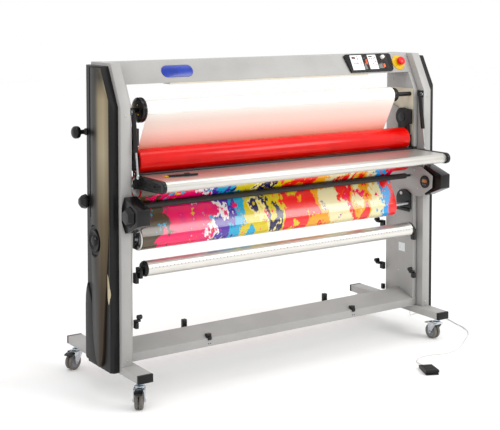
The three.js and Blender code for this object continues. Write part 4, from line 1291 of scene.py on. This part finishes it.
class LAMINATOR_OT_feed_table(bpy.types.Operator):
    """The lifting feed table, its end caps, rear rail, cutter and gas struts"""

    bl_idname = "laminator.feed_table"
    bl_label = "Feed table"

    def execute(self, context):
        low, high = TABLE_LOW, TABLE_HIGH
        nose = (high.z - low.z) / 2
        middle = (low.y + nose, high.z - nose)
        outline = [(high.y, high.z)] + arc(*middle, nose, 90, 270, 48)
        outline += [(middle[0] + 30, low.z), (middle[0] + 30, high.z - 12), (high.y - 20, high.z - 12),
                    (high.y - 20, high.z - 26), (high.y, high.z - 26)]
        table = prism("table_extrusion", outline, "X", low.x, high.x, 0.8, 2)
        grooves = [block("groove", (low.x - 2, middle[0] + 4 + 3 * i, high.z - 0.8),
                         (high.x + 2, middle[0] + 5 + 3 * i, high.z + 2), 0.1, 1) for i in range(2)]
        cut(table, *grooves)
        dressed(table, "anodised_aluminium", "feed_table", replaces=("feed_table",))
        self.caps()
        self.rail()
        self.cutter()
        self.struts()
        return {"FINISHED"}

    def caps(self):
        for side, sign in SIDES:
            name = f"{side}_table_cap"
            cap = refined(name, 3.5, 4, f"{side}_table_end")
            low, high = span(name)
            outer = high.x if sign > 0 else low.x
            slot_line = arc(-420, 1019, 13, 90, 270, 12) + arc(-250, 1014, 11, -90, 90, 12)
            x0, x1 = sorted((outer - sign * 4, outer + sign * 3))
            cut(cap, prism("recess", slot_line, "X", x0, x1, 0))
            rounded(cap, 0.8, 2, 50)
            dressed(cap, "gloss_black_abs", "feed_table", replaces=(name,))
            heads = [bolt("screw", outer - sign * 4, y, 1016, "X", sign, 4.5, 2.5) for y in (-375, -290)]
            dressed(joined(f"{side}_table_end_screws", heads), "gloss_black_abs", "feed_table")

    def rail(self):
        front, back = TABLE_HIGH.y + 2, TABLE_HIGH.y + 26
        top = TABLE_HIGH.z + 9
        body = [(front, TABLE_HIGH.z - 30), (back, TABLE_HIGH.z - 30), (back, top - 4), (back - 6, top),
                (front + 6, top), (front, top - 5)]
        rail = prism("table_rear_rail", body, "X", TABLE_LOW.x + 14, TABLE_HIGH.x - 14, 1.5, 3)
        dressed(rail, "gloss_black_abs", "feed_table")
        for side, sign in SIDES:
            x0, x1 = sorted((sign * 842, sign * 870))
            end = block(f"{side}_rail_end", (x0, front - 4, TABLE_HIGH.z - 34), (x1, back + 4, top + 3),
                        3, 3)
            dressed(end, "moulded_black_abs", "feed_table")

    def cutter(self):
        top = TABLE_HIGH.z
        outline = smooth([(-770, -330), (-700, -345), (-640, -352), (-622, -347), (-628, -338),
                          (-690, -326),
                          (-760, -318)], 4)
        grip = prism("film_cutter", outline, "Z", top + 0.6, top + 9, 2.2, 3)
        dressed(grip, "moulded_black_abs", "feed_table")
        thumb = block("film_cutter_slide", (-690, -345, top + 8), (-664, -333, top + 14), 2, 3)
        dressed(thumb, "gloss_black_abs", "feed_table")
        blade = block("film_cutter_blade", (-790, -330, top + 2.5), (-764, -318, top + 6), 0.8)
        dressed(blade, "brass_blade", "feed_table")

    def struts(self):
        top = Vector((-212, 1346))
        end = Vector((-256, 1045))
        length = (end - top).length
        tilt = math.atan2(end.x - top.x, top.y - end.y)
        for side, sign in SIDES:
            pivot = (sign * 890, top.x, top.y)
            lean = Matrix.Translation(place(*pivot)) @ Matrix.Rotation(tilt, 4,
                                                                       "X") @ Matrix.Translation(-place(*pivot))

            def hung(name, profile, steps=48):
                shape = [(r, top.y - d) for r, d in profile]
                return moved(lathe(name, shape, "Z", (sign * 890, top.x, 0), steps), lean)

            cylinder = hung(f"{side}_strut_tube",
                            [(0, -8), (5.5, -7), (8, -2), (8, 2), (6, 8), (6, 14), (9, 15), (11, 17),
                                                   (11, 188), (10, 190), (6.4, 190), (6.4, 110),
                             (0, 110)])
            dressed(cylinder, "gloss_black_abs", f"{side}_strut_cylinder",
                    replaces=(f"{side}_strut_cylinder",))
            rod = hung(f"{side}_strut_piston",
                       [(0, 150), (5, 150), (5, length - 12), (8, length - 8), (8, length + 4),
                                                (6, length + 8), (0, length + 8)])
            dressed(rod, "turned_steel", f"{side}_strut_rod", replaces=(f"{side}_strut_rod",))
            hanger = block(f"{side}_strut_hanger", (min(sign * 902, sign * 909), -222, 1330),
                           (max(sign * 902, sign * 909), -180, 1366), 1.5, 2)
            dressed(hanger, "gloss_black_abs")
            stud = lathe(f"{side}_strut_stud",
                         [(0, sign * 899), (11, sign * 899), (11, sign * 904), (0, sign * 904)],
                         "X", (0, top.x, top.y), 6)
            dressed(rounded(stud, 0.8), "zinc_plate")


class LAMINATOR_OT_housings(bpy.types.Operator):
    """Pressure housings, their faceted knobs and the pressure gauge"""

    bl_idname = "laminator.housings"
    bl_label = "Pressure housings"

    def execute(self, context):
        for side, sign in SIDES:
            body = refined(f"{side}_housing", 3, 3)
            dressed(body, "gloss_black_abs", replaces=(f"{side}_housing",))
            low, high = span(f"{side}_pressure_knob")
            inner, outer = (low.x, high.x) if sign > 0 else (high.x, low.x)
            middle = centre(f"{side}_pressure_knob")
            profile = [(0, inner), (49, inner), (50, inner + sign * 2), (37, outer - sign * 3),
                       (34, outer - sign * 0.5),
                       (26, outer), (0, outer)]
            knob = rounded(lathe(f"{side}_faceted_knob", profile, "X", middle, 6), 1.5, 3, 20)
            dressed(knob, "gloss_black_abs", f"{side}_pressure_knob", replaces=(f"{side}_pressure_knob",),
                    angle=20)
        face = GUSSET_FACE
        middle = (0, -276, 870)
        case = [(0, face - 0.2), (34, face - 0.2), (34, face - 8), (31, face - 10), (29.5, face - 7),
                (0, face - 7)]
        dressed(lathe("gauge_case", case, "X", middle, 64), "gloss_black_abs")
        window = block("gauge_window", (face - 8.2, -294, 866), (face - 7.1, -258, 884), 0.4)
        dressed(window, "amber_window")
        ticks = [block("tick", (face - 8.0, -290 + 7 * i, 850), (face - 7.1, -287 + 7 * i, 860),
                       0.3) for i in range(5)]
        dressed(joined("gauge_keys", ticks), "key_grey")
        heads = [bolt("screw", face, y, z, "X", -1, 4, 2) for y,
                 z in ((-215, 826), (-190, 925), (-60, 800))]
        dressed(joined("gusset_screws", heads), "zinc_plate")
        return {"FINISHED"}


class LAMINATOR_OT_castors(bpy.types.Operator):
    """Twin-wheel swivel castors with brake levers"""

    bl_idname = "laminator.castors"
    bl_label = "Castors"

    def execute(self, context):
        headings = {j["child"]: j for j in frame["joints"]}
        for corner in CASTORS:
            swivel = headings[f"castor_{corner}"]["pos_m"]
            axle = headings[f"castor_wheel_{corner}"]
            x, y = ((Vector(swivel) - ORIGIN) / MM).xy
            across = Vector(axle["axis"])
            heading = math.atan2(-across.x, across.y)
            turn = Matrix.Translation(place(x, y, 0)) @ Matrix.Rotation(heading, 4,
                                                                        "Z") @ Matrix.Translation(-ORIGIN)
            self.wheel(corner, turn)
            self.fork(corner, turn)
        return {"FINISHED"}

    def wheel(self, corner, turn):
        """Modelled at the origin, trailing along +X with its axle along Y."""
        middle = (30, 0, 40)
        tyres, hubs = [], []
        for y0, y1 in ((-20, -2.5), (2.5, 20)):
            tyre = [(27, y0 + 1.5), (36, y0 + 0.5), (38.5, y0 + 1.5), (40, y0 + 4.5), (40, y1 - 4.5),
                    (38.5, y1 - 1.5),
                    (36, y1 - 0.5), (27, y1 - 1.5)]
            tyres.append(lathe("tyre", tyre, "Y", middle, 64))
            hub = [(8, y0), (12, y0), (14, y0 + 3), (22, y0 + 4), (27, y0 + 1.6), (27, y1 - 1.6),
                   (22, y1 - 4),
                   (14, y1 - 3), (12, y1), (8, y1)]
            hubs.append(lathe("hub", hub, "Y", middle, 48))
        body = f"castor_wheel_{corner}"
        dressed(moved(joined(f"castor_tyres_{corner}", tyres), turn), "grey_tyre_rubber", body,
                replaces=(body,))
        axle = [(0, -23), (8, -23), (8, 23), (0, 23)]
        hubs.append(lathe("axle", axle, "Y", middle, 24))
        dressed(moved(joined(f"castor_hubs_{corner}", hubs), turn), "key_grey", body)

    def fork(self, corner, turn):
        body = f"castor_{corner}"
        dressed(refined(f"castor_fork_{corner}", 1.0, 2), "zinc_plate", body,
                replaces=(f"castor_fork_{corner}",))
        bolts = [bolt("nut", 30, sign * 27.2, 40, "Y", sign, 7, 3.5) for sign in (-1, 1)]
        dressed(moved(joined(f"castor_nuts_{corner}", bolts), turn), "turned_steel", body)
        foot_bottom = span("right_foot")[0].z
        ring = [(12.5, foot_bottom - 7), (19, foot_bottom - 7), (20, foot_bottom - 6),
                (20, foot_bottom - 1),
                (12.5, foot_bottom - 1)]
        dressed(moved(lathe(f"castor_ring_{corner}", ring, "Z", (0, 0, 0), 48), turn),
                "blue_anodised_ring", body)
        lever = refined(f"castor_brake_{corner}", 1.2, 2)
        dressed(lever, "gloss_black_abs", f"castor_brake_{corner}", replaces=(f"castor_brake_{corner}",))


OPERATORS = (
    LAMINATOR_OT_stage,
    LAMINATOR_OT_pedal_cord,
    LAMINATOR_OT_frame,
    LAMINATOR_OT_side_covers,
    LAMINATOR_OT_controls,
    LAMINATOR_OT_nip_rollers,
    LAMINATOR_OT_film,
    LAMINATOR_OT_print,
    LAMINATOR_OT_front_tube,
    LAMINATOR_OT_feed_table,
    LAMINATOR_OT_housings,
    LAMINATOR_OT_castors,
)


class LAMINATOR_PT_panel(bpy.types.Panel):
    """Lists the laminator's settings and the groups of pieces that build it"""

    bl_label = "Cold Roll Laminator"
    bl_idname = "LAMINATOR_PT_panel"
    bl_space_type = "VIEW_3D"
    bl_region_type = "UI"
    bl_category = "Laminator"

    def draw(self, context):
        for key in LaminatorSettings.__annotations__:
            self.layout.prop(context.scene.laminator, key)
        for operator in OPERATORS:
            self.layout.operator(operator.bl_idname)


def register():
    bpy.utils.register_class(LaminatorSettings)
    bpy.types.Scene.laminator = bpy.props.PointerProperty(type=LaminatorSettings)
    for operator in OPERATORS:
        bpy.utils.register_class(operator)
    bpy.utils.register_class(LAMINATOR_PT_panel)


def unregister():
    bpy.utils.unregister_class(LAMINATOR_PT_panel)
    for operator in reversed(OPERATORS):
        bpy.utils.unregister_class(operator)
    del bpy.types.Scene.laminator
    bpy.utils.unregister_class(LaminatorSettings)


def main():
    register()
    make_materials()
    for operator in OPERATORS:
        group, name = operator.bl_idname.split(".")
        if getattr(getattr(bpy.ops, group), name)() != {"FINISHED"}:
            raise RuntimeError(f"{operator.bl_label} was not finished")


if __name__ == "__main__":
    main()
